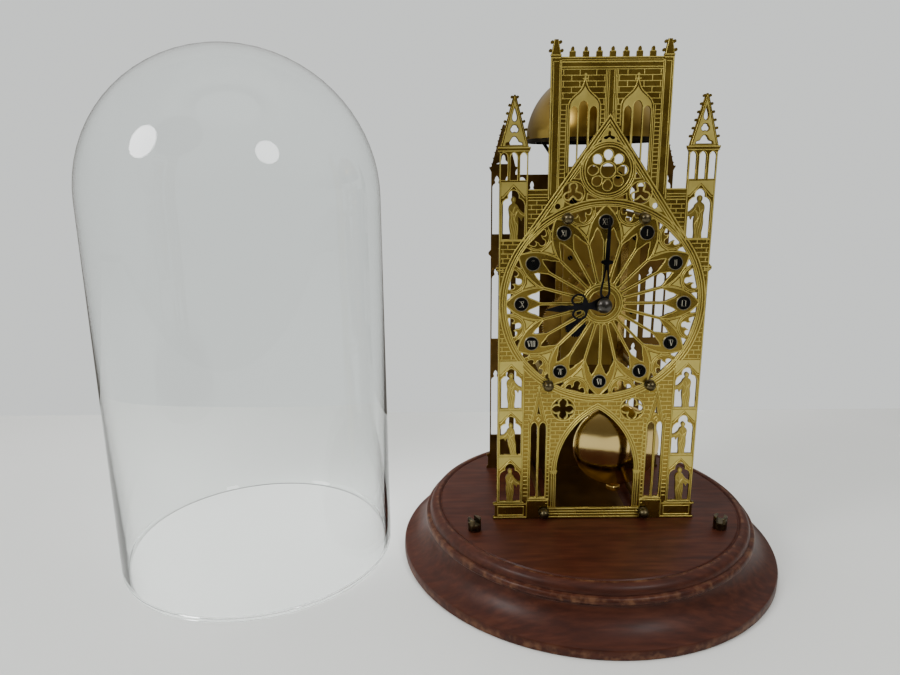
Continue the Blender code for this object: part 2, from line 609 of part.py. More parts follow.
def build_pendulum():
    """Flat rod with a threaded foot, the domed bob in front of it and the rating nut below."""
    pivot_z = on_dial(ANCHOR)[1]
    foot = BASE_HEIGHT + GAP + 6.0
    nut_top = BASE_HEIGHT + GAP + 11.6
    strip = box("pendulum_rod", (PENDULUM_X - 2.5, -1.7, nut_top + 1.0),
                (PENDULUM_X + 2.5, -0.5, pivot_z + 0.8), BRASS)
    thread = turned("pendulum_thread", [(0.0, nut_top + 4.0), (1.3, nut_top + 4.0), (1.3, foot),
                                        (0.0, foot)], BRASS,
                    (PENDULUM_X, -1.1, 0.0), steps=10)
    boolean(strip, thread, "UNION")
    bob_profile = [(0.0, 8.6), (8.0, 8.2), (16.0, 7.0), (23.0, 5.0), (28.5, 2.7), (31.8, 0.9),
                   (BOB_RADIUS, 0.0),
                   (BOB_RADIUS - 0.6, -1.2), (0.0, -1.6)]
    bob = turned("pendulum_bob", bob_profile, BRASS, (PENDULUM_X, -4.0, BASE_HEIGHT + GAP + BOB_HEIGHT),
                 steps=30)
    bob.rotation_euler = (math.pi / 2, 0.0, 0.0)
    turned("rating_nut", [(1.7, nut_top), (4.7, nut_top), (5.2, nut_top - 0.5), (5.2, nut_top - 3.1),
                          (4.7, nut_top - 3.6), (1.7, nut_top - 3.6)], BRASS, (PENDULUM_X, -1.1, 0.0),
                          steps=20)


# ---- hands --------------------------------------------------------------------------------------
MINUTE_HAND_LENGTH = 59.4
HOUR_HAND_LENGTH = 39.0
HOUR_HAND_TURN = 265.0
MINUTE_HAND_TURN = 1.5


def turned_hand(loops, degrees):
    """Hand loops drawn upright, turned clockwise."""
    angle = math.radians(-degrees)
    return [[(x * math.cos(angle) - z * math.sin(angle), x * math.sin(angle) + z * math.cos(angle)) for x,
             z in loop]
            for loop in loops]


def build_hands():
    """Pierced steel hands and the domed nut on the centre arbor."""
    centre = on_dial(CENTRE)
    right = [(2.6, 1.8), (3.6, 9.0), (1.6, 24.6), (1.4, 27.6), (4.0, 28.6), (4.0, 30.0), (1.3, 30.8),
             (1.0, 48.0),
             (0.5, MINUTE_HAND_LENGTH)]
    blade = [(2.6, -1.8)] + right + mirrored(right) + [(-2.6, -1.8)]
    loop = [(0.0, 6.2), (1.9, 8.6), (2.0, 11.0), (0.5, 24.0), (-0.5, 24.0), (-2.0, 11.0), (-1.9, 8.6)]
    hand = turned_hand([blade, loop, ring(1.65, 10)], MINUTE_HAND_TURN)
    flat("minute_hand", hand, -39.6, -38.8, STEEL, centre)

    right = [(4.6, -3.6), (4.8, 3.4), (3.2, 9.4), (8.2, 12.6), (9.2, 16.6), (7.6, 20.2), (4.4, 21.4),
             (1.6, 19.6),
             (1.7, 25.0), (2.3, 31.0), (0.3, HOUR_HAND_LENGTH)]
    spear = right + mirrored(right)
    ring_right = [(6.2, 13.4), (7.4, 16.4), (6.2, 19.0), (4.4, 19.8), (2.4, 18.4), (1.9, 15.6),
                  (3.0, 13.2), (4.6, 12.4)]
    hand = turned_hand([spear, ring_right, mirrored(ring_right), ring(3.45, 16)], HOUR_HAND_TURN)
    flat("hour_hand", hand, -36.5, -35.7, STEEL, centre)

    cap = turned("hand_nut", [(0.0, 4.4), (2.2, 4.0), (4.2, 2.6), (5.2, 0.8), (5.2, 0.0), (1.65, 0.0),
                              (1.65, 1.9),
                              (0.0, 1.9)], STEEL, (0.0, -39.9, centre[1]), steps=20)
    cap.rotation_euler = (math.pi / 2, 0.0, 0.0)


# ---- strike -------------------------------------------------------------------------------------
def build_strike():
    """Bell on its post, and the hammer that falls against the inside of its rim."""
    rim = BASE_HEIGHT + BELL_RIM_HEIGHT
    outer = [(BELL_RADIUS * math.sin(math.radians(a)), BELL_RADIUS * math.cos(math.radians(a)))
             for a in (3.4, 16, 30, 44, 58, 72, 84)] + [(BELL_RADIUS, 0.0)]
    inner_radius = BELL_RADIUS - 1.8
    inner = [(inner_radius * math.sin(math.radians(a)), inner_radius * math.cos(math.radians(a)))
             for a in (84, 72, 58, 44, 30, 16, 3.5)]
    turned("bell", outer + [(inner_radius, 0.0)] + inner, BRASS, (0.0, BELL_Y, rim), steps=24)
    bridge = box("bell_post", (-5.0, MOVEMENT_FRONT + MOVEMENT_PLATE + GAP, BASE_HEIGHT + 243.5),
                 (5.0, MOVEMENT_BACK - MOVEMENT_PLATE - GAP, BASE_HEIGHT + 249.5), BRASS)
    stem = turned("bell_stem", [(0.0, rim + 51.0), (2.0, rim + 51.0), (2.0, rim + 42.0), (3.4, rim + 41.6),
                                (3.4, rim + 38.0), (2.0, rim + 37.6), (2.0, BASE_HEIGHT + 247.0),
                                (0.0, BASE_HEIGHT + 247.0)], BRASS, (0.0, BELL_Y, 0.0), steps=12)
    boolean(bridge, stem, "UNION")
    turned("bell_nut", [(2.4, rim + 50.4), (3.6, rim + 50.0), (4.4, rim + 48.6), (4.4, rim + 47.5),
                        (2.4, rim + 47.5)],
           BRASS, (0.0, BELL_Y, 0.0), steps=12)

    pivot = on_dial(HAMMER)
    arm = [(-1.6, -2.6), (1.8, -2.2), (2.2, 1.6), (-20.0, 21.4), (-27.0, 31.4), (-28.8, 30.2), (-21.6, 19.6)]
    hammer = as_mesh(rod("hammer", PIVOT, 3.4, 40.6, STEEL, pivot, sides=10))
    boolean(hammer, as_mesh(flat("hammer_arm", [arm], BELL_Y - 0.7, BELL_Y + 0.7, STEEL, pivot)), "UNION")
    head = [(-32.0, 28.2), (-25.0, 30.6), (-27.0, 36.6), (-34.0, 34.2)]
    boolean(hammer, as_mesh(flat("hammer_head", [head], BELL_Y - 3.0, BELL_Y + 3.0, STEEL, pivot)), "UNION")


# ---- glass dome ---------------------------------------------------------------------------------
def build_dome():
    """Round glass dome with a hemispherical top, standing beside the base."""
    centre = DOME_HEIGHT - DOME_RADIUS
    outer = [(DOME_RADIUS * math.cos(math.radians(a)), centre + DOME_RADIUS * math.sin(math.radians(a)))
             for a in (90, 75, 60, 45, 30, 15, 0)]
    outer[0] = (0.0, DOME_HEIGHT)
    inner_radius = DOME_RADIUS - DOME_WALL
    inner = [(inner_radius * math.cos(math.radians(a)), centre + inner_radius * math.sin(math.radians(a)))
             for a in (0, 15, 30, 45, 60, 75)]
    rim = [(DOME_RADIUS, 1.0), (DOME_RADIUS - 0.8, 0.0), (inner_radius + 0.4, 0.0), (inner_radius, 0.6)]
    turned("glass_dome", outer + rim + inner + [(0.0, centre + inner_radius)], GLASS, (DOME_X, 0.0, 0.0),
           steps=32)


build_base()
build_facades()
build_pillars()
build_numerals()
build_movement_frame()
build_train()
build_motion_work()
build_winding()
build_escapement()
build_pendulum()
build_hands()
build_strike()
build_dome()

for made in clock.objects:
    if made.type == "MESH" and made.data.polygons:
        made.data.shade_smooth()
        made.data.set_sharp_from_angle(angle=math.radians(35))
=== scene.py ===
"""The looks of a cathedral skeleton clock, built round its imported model.

Outlines, turned profiles and depths are in millimetres: x from the centre line, z above the facades' feet,
and a relief's depth out from the facade's etched field.  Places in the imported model's frame are in metres.
"""
import json
import math

import bmesh
import bpy
from mathutils import Matrix, Vector
from mathutils.geometry import tessellate_polygon


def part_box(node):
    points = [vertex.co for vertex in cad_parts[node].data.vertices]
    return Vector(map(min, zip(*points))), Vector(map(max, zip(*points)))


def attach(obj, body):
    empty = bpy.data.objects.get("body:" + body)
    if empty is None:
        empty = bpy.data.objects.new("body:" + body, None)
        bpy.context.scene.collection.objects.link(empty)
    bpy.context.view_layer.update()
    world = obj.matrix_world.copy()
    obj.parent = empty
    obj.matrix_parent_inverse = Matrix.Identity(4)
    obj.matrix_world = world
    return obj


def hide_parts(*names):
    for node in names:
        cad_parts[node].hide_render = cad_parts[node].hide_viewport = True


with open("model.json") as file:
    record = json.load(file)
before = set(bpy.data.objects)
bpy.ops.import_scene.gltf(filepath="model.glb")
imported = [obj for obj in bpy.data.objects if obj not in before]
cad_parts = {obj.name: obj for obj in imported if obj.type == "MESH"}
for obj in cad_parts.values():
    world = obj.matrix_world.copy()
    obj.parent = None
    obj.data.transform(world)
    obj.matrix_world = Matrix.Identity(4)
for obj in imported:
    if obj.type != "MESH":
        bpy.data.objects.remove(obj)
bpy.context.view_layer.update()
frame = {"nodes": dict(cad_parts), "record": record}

MM = 0.001
front_low, front_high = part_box("front_plate")
back_low, back_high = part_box("back_plate")
FOOT = front_low.z             # z of the facades' feet
DIAL = 159.6                   # dial centre above the foot, mm
GAP = 0.3                      # the feet stand this far above the base's top, mm
AXIS = DIAL - GAP              # centre of the hands and wheels, set out from the base's top
RELIEF = 0.45                  # how far the lines stand out of the field, mm
BED = -0.3                     # how deep their roots reach into it, mm
BEHIND = -1.9                  # depth of what stands free in an opening, mm
THROUGH = -2.02                # depth of what goes right through a facade, mm
FIELD = front_low.y + RELIEF * MM
SEAT_Y = -0.0338               # y of the backs of the nuts and numeral discs
FRAME_BODY = "frame"


# ---- materials ----
def shader(name, base, metallic=1.0, rough=0.3, **extra):
    """A node material with a Principled shader, and its node tree."""
    made = bpy.data.materials.new(name)
    made.use_nodes = True
    tree = made.node_tree
    bsdf = tree.nodes["Principled BSDF"]
    bsdf.inputs["Base Color"].default_value = (*base, 1.0)
    bsdf.inputs["Metallic"].default_value = metallic
    bsdf.inputs["Roughness"].default_value = rough
    for socket, value in extra.items():
        bsdf.inputs[socket.replace("_", " ")].default_value = value
    return made, tree, bsdf


def noise(tree, scale, detail=4.0, stretch=(1.0, 1.0, 1.0)):
    """A noise texture in object space; returns its factor socket."""
    place = tree.nodes.new("ShaderNodeTexCoord")
    mapping = tree.nodes.new("ShaderNodeMapping")
    mapping.inputs["Scale"].default_value = stretch
    texture = tree.nodes.new("ShaderNodeTexNoise")
    texture.inputs["Scale"].default_value = scale
    texture.inputs["Detail"].default_value = detail
    tree.links.new(place.outputs["Object"], mapping.inputs["Vector"])
    tree.links.new(mapping.outputs["Vector"], texture.inputs["Vector"])
    return texture.outputs["Fac"]


def ramp(tree, factor, stops):
    """A colour ramp over a factor; stops are (position, colour)."""
    node = tree.nodes.new("ShaderNodeValToRGB")
    elements = node.color_ramp.elements
    while len(elements) < len(stops):
        elements.new(0.5)
    for element, (position, colour) in zip(elements, stops):
        element.position = position
        element.color = (*colour, 1.0)
    tree.links.new(factor, node.inputs["Fac"])
    return node.outputs["Color"]


def spread(tree, factor, low=0.0, high=1.0, first=0.3, last=0.7):
    """A factor between first and last, mapped to a range of values."""
    node = tree.nodes.new("ShaderNodeMapRange")
    node.inputs["From Min"].default_value = first
    node.inputs["From Max"].default_value = last
    node.inputs["To Min"].default_value = low
    node.inputs["To Max"].default_value = high
    tree.links.new(factor, node.inputs["Value"])
    return node.outputs["Result"]


def axes(tree, kind):
    """The x, y and z sockets of a texture coordinate."""
    place = tree.nodes.new("ShaderNodeTexCoord")
    split = tree.nodes.new("ShaderNodeSeparateXYZ")
    tree.links.new(place.outputs[kind], split.inputs["Vector"])
    return split.outputs


def mixed(tree, blend="MIX", **given):
    """A colour mix; each of Factor, A and B is a socket or a plain value."""
    node = tree.nodes.new("ShaderNodeMix")
    node.data_type = "RGBA"
    node.blend_type = blend
    for name, value in given.items():
        if isinstance(value, bpy.types.NodeSocket):
            tree.links.new(value, node.inputs[name])
        else:
            node.inputs[name].default_value = value
    return node.outputs["Result"]


def bump(tree, bsdf, factor, strength, distance):
    """Drive the shader's normal from a factor."""
    node = tree.nodes.new("ShaderNodeBump")
    node.inputs["Strength"].default_value = strength
    node.inputs["Distance"].default_value = distance
    tree.links.new(factor, node.inputs["Height"])
    tree.links.new(node.outputs["Normal"], bsdf.inputs["Normal"])


def metal(name, dark, light, rough_low, rough_high, scale=60.0, depth=0.00002):
    """A tarnished metal: colour and roughness wander at one scale, with a fine grain in the surface."""
    made, tree, bsdf = shader(name, light)
    wander = noise(tree, scale)
    tree.links.new(ramp(tree, wander, [(0.35, dark), (0.65, light)]), bsdf.inputs["Base Color"])
    tree.links.new(spread(tree, wander, rough_low, rough_high), bsdf.inputs["Roughness"])
    bump(tree, bsdf, noise(tree, 900.0, 2.0), 0.5, depth)
    return made


FIELD_BRASS = metal("etched_field", (0.25, 0.17, 0.035), (0.31, 0.22, 0.045), 0.22, 0.32, depth=0.000004)
LINE_BRASS = metal("raised_line", (0.60, 0.49, 0.13), (0.68, 0.57, 0.17), 0.40, 0.50, depth=0.000003)
DULL_BRASS = metal("dull_brass", (0.10, 0.055, 0.015), (0.16, 0.09, 0.025), 0.35, 0.5)
BRASS = metal("polished_brass", (0.62, 0.42, 0.13), (0.70, 0.50, 0.17), 0.14, 0.24, depth=0.000004)
ANTIQUE = metal("antique_brass", (0.055, 0.045, 0.024), (0.15, 0.12, 0.065), 0.24, 0.40, scale=300.0)
STEEL = metal("dark_steel", (0.010, 0.010, 0.012), (0.022, 0.022, 0.026), 0.28, 0.4)
HUB_STEEL = metal("hub_steel", (0.055, 0.050, 0.045), (0.095, 0.088, 0.078), 0.30, 0.40, scale=200.0)
STATUE_BRASS = metal("statue_brass", (0.33, 0.245, 0.055), (0.41, 0.31, 0.075), 0.30, 0.40, scale=500.0)
# Near-black painted shade for the sheet inside the bell.
BELL_SHADE = metal("bell_painted_shade", (0.010, 0.008, 0.005), (0.030, 0.022, 0.012), 0.45, 0.6, scale=80.0)
BOB_BRASS = metal("bob_brass", (0.60, 0.44, 0.17), (0.66, 0.50, 0.20), 0.10, 0.15, scale=40.0,
                  depth=0.000002)
# The bell's brass, darkened as painted shade for the shadow and dark reflections it takes behind the front
# facade.
SHADED_BELL_BRASS = metal("bell_brass_painted_shade", (0.27, 0.170, 0.034), (0.35, 0.235, 0.055), 0.26, 0.34, scale=50.0,
                   depth=0.000003)
PILLAR_BRASS = metal("pillar_brass", (0.30, 0.22, 0.07), (0.38, 0.29, 0.10), 0.34, 0.46)
TRAIN_BRASS = metal("train_brass", (0.32, 0.20, 0.05), (0.44, 0.29, 0.08), 0.40, 0.52, scale=120.0,
                    depth=0.000001)
PLATE_BRASS = metal("plate_brass", (0.36, 0.24, 0.055), (0.46, 0.31, 0.08), 0.42, 0.52, scale=40.0,
                    depth=0.0000005)


def glass_material():
    """Clear, faintly green blown glass."""
    return shader("clear_glass", (0.97, 0.99, 0.985), 0.0, 0.0, Transmission_Weight=1.0, IOR=1.45)[0]


def mahogany_material():
    """French-polished mahogany, rubbed through to paler wood on its turned edges."""
    made, tree, bsdf = shader("mahogany", (0.04, 0.014, 0.008), 0.0, 0.35, Coat_Weight=0.04,
                              Coat_Roughness=0.2, Specular_IOR_Level=0.2)
    grain = noise(tree, 40.0, 9.0, (1.0, 7.0, 7.0))
    wood = ramp(tree, grain, [(0.3, (0.030, 0.0070, 0.0036)), (0.5, (0.046, 0.0110, 0.0052)),
                              (0.7, (0.068, 0.0180, 0.0082))])
    height = spread(tree, axes(tree, "Object")["Z"], first=0.0, last=0.037)
    wear = ((0.0, 1.0), (0.10, 0.9), (0.19, 0.0), (0.66, 0.0), (0.72, 1.0), (0.80, 0.9), (0.84, 0.0),
            (0.986, 0.0), (0.994, 0.8))
    edges = ramp(tree, height, [(level, (much, much, much)) for level, much in wear])
    patches = ramp(tree, noise(tree, 190.0, 10.0), [(0.46, (0, 0, 0)), (0.66, (0.85, 0.85, 0.85))])
    worn = mixed(tree, "MULTIPLY", Factor=1.0, A=edges, B=patches)
    colour = mixed(tree, Factor=worn, A=wood, B=(0.14, 0.062, 0.030, 1.0))
    tree.links.new(colour, bsdf.inputs["Base Color"])
    tree.links.new(spread(tree, noise(tree, 18.0), 0.34, 0.52), bsdf.inputs["Roughness"])
    bump(tree, bsdf, grain, 0.12, 0.0001)
    return made


def enamel(name, dark, light, rough):
    """A painted surface, its colour and gloss slightly uneven."""
    made, tree, bsdf = shader(name, light, 0.0, rough, Specular_IOR_Level=0.05)
    mottle = noise(tree, 420.0)
    tree.links.new(ramp(tree, mottle, [(0.35, dark), (0.65, light)]), bsdf.inputs["Base Color"])
    tree.links.new(spread(tree, mottle, rough - 0.06, rough + 0.06), bsdf.inputs["Roughness"])
    return made


MAHOGANY = mahogany_material()
GLASS = glass_material()
ENAMEL = enamel("black_enamel", (0.002, 0.002, 0.002), (0.004, 0.004, 0.0035), 0.6)
GILT = metal("numeral_silvering", (0.62, 0.58, 0.47), (0.74, 0.70, 0.58), 0.26, 0.36, scale=300.0)
RIM_SILVER = metal("rim_silvering", (0.26, 0.24, 0.18), (0.36, 0.33, 0.26), 0.30, 0.40, scale=300.0)


# ---- drawing in the facade's plane ----
def arc(centre, radius, first, last, count):
    """Points on an arc, angles in degrees."""
    return [(centre[0] + radius * math.cos(math.radians(first + (last - first) * i / count)),
             centre[1] + radius * math.sin(math.radians(first + (last - first) * i / count)))
            for i in range(count + 1)]


def ring(centre, radius, count=32):
    """A closed circle."""
    return arc(centre, radius, 0, 360, count)[:-1]


def mirrored(points):
    """The same points on the other side of the centre line."""
    return [(-x, z) for x, z in reversed(points)]


def polar(points, turn, centre=(0.0, DIAL)):
    """Points given as (radius, bearing) about a centre, turned; bearings run clockwise from the top."""
    return [(centre[0] + r * math.sin(math.radians(a + turn)), centre[1]
             + r * math.cos(math.radians(a + turn))) for r, a in points]


def spun(pairs):
    """Points given as (radius, degrees) about the origin, anticlockwise from the right."""
    return [(r * math.cos(math.radians(a)), r * math.sin(math.radians(a))) for r, a in pairs]


def rotated(points, degrees):
    """Points turned clockwise about the origin."""
    angle = math.radians(-degrees)
    return [(x * math.cos(angle) - z * math.sin(angle), x * math.sin(angle) + z * math.cos(angle))
            for x, z in points]


def smooth(points, steps=4, closed=False):
    """A Catmull-Rom curve through points."""
    count = len(points)
    out = []
    spans = count if closed else count - 1
    for i in range(spans):
        p = [points[(i + k) % count] if closed else points[min(max(i + k, 0), count - 1)]
             for k in (-1, 0, 1, 2)]
        for j in range(steps):
            t = j / steps
            out.append(tuple(0.5 * (2 * p[1][c] + (p[2][c] - p[0][c]) * t
                                    + (2 * p[0][c] - 5 * p[1][c] + 4 * p[2][c] - p[3][c]) * t * t
                                    + (3 * p[1][c] - p[0][c] - 3 * p[2][c] + p[3][c]) * t ** 3)
                             for c in (0, 1)))
    if not closed:
        out.append(points[-1])
    return out


def sides(points, closed):
    """The mitred sideways direction at each point of a path."""
    count = len(points)
    found = []
    for i in range(count):
        here = Vector(points[i])
        normals = []
        for k in (-1, 1):
            j = i + k
            if closed or 0 <= j < count:
                step = (Vector(points[j % count]) - here) * k
                if step.length > 1e-6:
                    step.normalize()
                    normals.append(Vector((-step.y, step.x)))
        across = sum(normals, Vector((0.0, 0.0)))
        across = across.normalized() if across.length > 1e-6 else normals[0]
        found.append(across / max(0.45, across.dot(normals[0])))
    return found


def outset(loop, distance):
    """A closed loop moved outwards."""
    area = sum(a[0] * b[1] - b[0] * a[1] for a, b in zip(loop, loop[1:] + loop[:1]))
    sign = -distance if area > 0 else distance
    return [(x + n.x * sign, z + n.y * sign) for (x, z), n in zip(loop, sides(loop, True))]


class Relief:
    """Raised strips and slabs on a plate, as one mesh."""

    def __init__(self):
        self.points = []
        self.faces = []
        self.nudge = 0

    def strip(self, path, width=0.6, closed=False, top=RELIEF, bottom=BED, bevel=0.13, both=False):
        """A line with bevelled shoulders along a path; tops step a hair so that crossings don't fight."""
        if both:
            self.strip(mirrored(path), width, closed, top, bottom, bevel)
        self.nudge = (self.nudge + 1) % 7
        top = top - 0.004 * self.nudge
        first = len(self.points)
        count = len(path)
        for (x, z), n in zip(path, sides(path, closed)):
            for reach, depth in ((width / 2, bottom), (width / 2, top - bevel), (width / 2 - bevel, top),
                                 (bevel - width / 2, top), (-width / 2, top - bevel), (-width / 2, bottom)):
                self.points.append((x + n.x * reach, z + n.y * reach, depth))
        for i in range(count if closed else count - 1):
            a, b = first + 6 * i, first + 6 * ((i + 1) % count)
            for k in range(6):
                m = (k + 1) % 6
                self.faces.append((a + k, a + m, b + m, b + k))
        if not closed:
            self.faces.append(tuple(first + k for k in range(6)))
            last = first + 6 * (count - 1)
            self.faces.append(tuple(last + k for k in reversed(range(6))))

    def line(self, width, *points):
        """A plain line through points."""
        self.strip(points, width)

    def twin(self, width, *points):
        """A plain line and its mirror image on the facade's other side."""
        self.strip(points, width, both=True)

    def slab(self, loop, holes=(), top=RELIEF - 0.05, bottom=BED, both=False):
        """A raised flat area with square edges."""
        if both:
            self.slab(mirrored(loop), [mirrored(h) for h in holes], top, bottom)
        loops = [loop, *holes]
        flat = [p for part in loops for p in part]
        first = len(self.points)
        triangles = tessellate_polygon([[Vector((x, z, 0.0)) for x, z in part] for part in loops])
        for depth in (top, bottom):
            self.points += [(x, z, depth) for x, z in flat]
        count = len(flat)
        for a, b, c in triangles:
            self.faces.append((first + a, first + b, first + c))
            self.faces.append((first + count + c, first + count + b, first + count + a))
        start = first
        for part in loops:
            for i in range(len(part)):
                a, b = start + i, start + (i + 1) % len(part)
                self.faces.append((a, b, b + count, a + count))
            start += len(part)

    def made(self, name, finish, field_y):
        """The mesh as an object; depth grows towards -y."""
        return mesh_object(name, [(x * MM, field_y - d * MM, FOOT + z * MM) for x, z, d in self.points],
                           self.faces, finish)


def mesh_object(name, points, faces, finish, smooth_below=None):
    """An object from points and faces, its normals made to point out."""
    mesh = bpy.data.meshes.new(name)
    mesh.from_pydata(points, [], faces)
    work = bmesh.new()
    work.from_mesh(mesh)
    bmesh.ops.recalc_face_normals(work, faces=work.faces)
    work.to_mesh(mesh)
    work.free()
    mesh.materials.append(finish)
    if smooth_below:
        mesh.shade_smooth()
        mesh.set_sharp_from_angle(angle=math.radians(smooth_below))
    made = bpy.data.objects.new(name, mesh)
    bpy.context.scene.collection.objects.link(made)
    return made


def pierced(name, edge, holes, near, far, finish, place):
    """A flat plate in the facade's plane, y from near to far, with holes, about a place."""
    curve = bpy.data.curves.new(name, "CURVE")
    curve.dimensions = "2D"
    curve.fill_mode = "BOTH"
    curve.extrude = (far - near) / 2
    for loop in [edge, *holes]:
        spline = curve.splines.new("POLY")
        spline.points.add(len(loop) - 1)
        for point, (x, z) in zip(spline.points, loop):
            point.co = (x * MM, z * MM, 0.0, 1.0)
        spline.use_cyclic_u = True
    drawn = bpy.data.objects.new(name, curve)
    bpy.context.scene.collection.objects.link(drawn)
    bpy.context.view_layer.update()
    mesh = bpy.data.meshes.new_from_object(drawn.evaluated_get(bpy.context.evaluated_depsgraph_get()))
    bpy.data.objects.remove(drawn)
    work = bmesh.new()
    work.from_mesh(mesh)
    bmesh.ops.remove_doubles(work, verts=work.verts, dist=0.000001)
    work.to_mesh(mesh)
    work.free()
    middle = Matrix.Translation((place[0], (near + far) / 2, place[2]))
    mesh.transform(middle @ Matrix.Rotation(math.pi / 2, 4, "X"))
    mesh.materials.clear()
    mesh.materials.append(finish)
    made = bpy.data.objects.new(name, mesh)
    bpy.context.scene.collection.objects.link(made)
    return made


def settle(piece, body, slot, *nodes):
    """Attach a piece to its body, hiding the CAD nodes it stands for; the slot is not used."""
    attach(piece, body)
    if nodes:
        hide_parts(*nodes)
    return piece


# ---- front facade: what is cut through it ----
COLUMN = 61.0                                  # middle of the side columns, mm
RINGS = ((69.5, 0.7), (67.6, 0.55), (66.1, 0.6), (65.1, 0.5))  # radii and widths of the dial's raised rings
GABLES = ((281.8, 0.7), (278.5, 0.6), (275.9, 0.6))  # apexes and widths of the great gable's lines
SLOPE = 1.446                                  # of the great gable, tangent to the dial's rings
ROSETTE = (0.0, 247.5)
TREFOIL = (22.0, 233.0)
ROUNDEL = (24.3, 84.2)
# sill, top and upper edge of each niche
LEVELS = ((203.2, 235.1, 240.4), (84.9, 113.9, 119.4), (50.1, 78.9, 83.2), (13.9, 43.3, 48.4))
COURSE = 3.05                                  # height of a brick course
DIAL_RIM = 70.2
DOOR_MOULDING = 3.6                            # width of the doorway's mouldings
DOOR_HALF, DOOR_SPRING, DOOR_APEX = 27.8, 37.0, 84.4
DOOR_RADIUS = ((DOOR_APEX - DOOR_SPRING) ** 2 + DOOR_HALF ** 2) / (2 * DOOR_HALF)


def over_column(points):
    """Points about a column's middle moved over to the right column."""
    return [(COLUMN + x, z) for x, z in points]


def symmetric(half):
    """A closed loop from its right half, listed upwards or downwards."""
    return half + [(-x, z) for x, z in reversed(half) if x > 0.001]


def niche(sill, top):
    """A niche's opening under its cusped head."""
    half = [(7.4, sill), (7.4, top - 9.6), (6.6, top - 7.2), (4.9, top - 5.7), (3.4, top - 5.2),
            (3.5, top - 3.4), (2.6, top - 1.3), (1.2, top - 0.3)]
    return over_column(symmetric(half + [(0.0, top)]))


def lancet(left, right, sill, spring, top):
    """A tall light with a pointed, slightly shouldered head."""
    middle = (left + right) / 2
    half = (right - left) / 2
    shape = symmetric([(1.0, 0.0), (0.9, 0.35), (0.66, 0.68), (0.34, 0.9), (0.0, 1.0)])
    head = [(middle + half * x, spring + (top - spring) * z) for x, z in shape]
    return [(left, sill), (right, sill)] + head


def cut_light(left, right, spring, top):
    """A tower light, cut off below by the great gable."""
    low = GABLES[0][0] + 1.3
    foot = [(x, low - SLOPE * x) for x in (left, right)]
    return foot + lancet(left, right, 0.0, spring, top)[2:]


def doorway(reach=0.0):
    """The pointed arch from its right springing over to its left, moved out by a reach."""
    centre = DOOR_HALF - DOOR_RADIUS
    sweep = math.degrees(math.acos(-centre / (DOOR_RADIUS + reach)))
    right = arc((centre, DOOR_SPRING), DOOR_RADIUS + reach, 0.0, sweep, 16)
    return right + mirrored(right)[1:]


# the dial's openings as (radius, bearing) about its centre
DIAL_WINDOW = [(15.3, -3.5), (14.6, 0.0), (15.3, 3.5), (40.3, 6.2), (42.4, 6.0), (44.4, 4.9), (47.0, 3.7),
               (49.0, 2.9), (50.6, 1.5), (48.2, -0.5), (45.6, -1.9), (43.2, -4.4), (41.2, -6.1),
               (40.3, -6.2)]
LOBED = (arc((0.0, 58.7), 2.1, -90.0, 35.0, 7) + [(2.05, 61.1), (2.55, 62.5), (3.0, 62.4)]
         + arc((4.6, 62.1), 1.55, 205.0, 335.0, 6) + [(7.0, 63.4), (6.4, 64.2)])
CUSPED = [(math.hypot(x, z), math.degrees(math.atan2(side * x, z)))
          for side, half in ((1, LOBED), (-1, LOBED[:0:-1])) for x, z in half]
PETAL_SIDE = [(41.5, 15.0), (45.0, 14.1), (48.6, 12.4), (52.0, 10.7), (55.0, 9.0), (58.5, 6.5), (61.5, 3.9)]
PETAL = [(r, -a) for r, a in PETAL_SIDE] + [(65.2, 0.0)] + PETAL_SIDE[::-1]
SLIVER = [(64.6, 1.9), (64.6, 6.1), (62.2, 6.5), (60.4, 6.2), (62.3, 4.1)]
TRIANGLE = [(48.0, 0.0), (51.4, 1.9), (53.9, 3.5), (53.2, 0.0), (53.9, -3.5), (51.4, -1.9)]
# openings of the gable and the pinnacles as right halves, in the facade's plane
GABLE_TREFOIL = [(0.0, 272.2), (1.0, 271.2), (0.8, 269.8), (1.1, 269.0), (3.3, 268.4), (3.9, 267.5),
                 (3.2, 266.8), (1.5, 266.7), (0.0, 268.0)]
GABLE_TIP = [(0.0, 275.3), (1.0, 273.7)]
GABLE_EYES = [[(4.9, 266.8), (7.9, 264.4), (4.9, 265.3)],
              [(12.6, 232.3), (12.9, 228.9), (6.2, 229.3), (9.2, 230.7)],
              [(18.5, 246.4), (21.4, 242.5), (18.1, 242.2)], ring((32.0, 224.5), 1.9, 16)]
TEARDROP = [(0.0, 286.6), (0.6, 284.4), (1.4, 281.6), (1.5, 279.9), (0.9, 278.6), (0.0, 278.2)]
PINNACLE_HEART = [(0.0, 275.9), (1.3, 275.5), (1.7, 274.5), (2.5, 273.6), (2.4, 272.3), (1.3, 271.4),
                  (0.0, 271.9)]
PINNACLE_LOBES = [(5.4, 263.7), (5.1, 264.8), (2.9, 265.5), (2.0, 267.2), (1.0, 268.5), (0.0, 268.8)]
# tall lights as left, right, (sill,) spring and top
TOWER_LIGHTS = ((8.5, 13.3, 284.2, 287.2), (14.4, 20.2, 287.0, 290.5), (20.9, 25.7, 284.2, 287.2))
LANCETS = ((35.8, 40.7, 17.0, 70.4, 74.4), (42.1, 46.6, 17.0, 70.4, 74.4))
LANCET_EYE = [(39.9, 80.0), (41.3, 80.9), (42.8, 80.0), (42.0, 83.0), (41.4, 87.2), (40.8, 83.0)]
CROWN_LIGHTS = [(COLUMN + x - 2.3, COLUMN + x + 2.3, 241.6, 256.0, 258.9) for x in (-6.4, 0.0, 6.4)]


def dial_window(index):
    """One of the dial's flamed lights, its tip leaning towards the hour it stands beside."""
    lean = 1 if index % 2 else -1
    return polar([(r, lean * a) for r, a in DIAL_WINDOW], 7.5 + 15 * index)


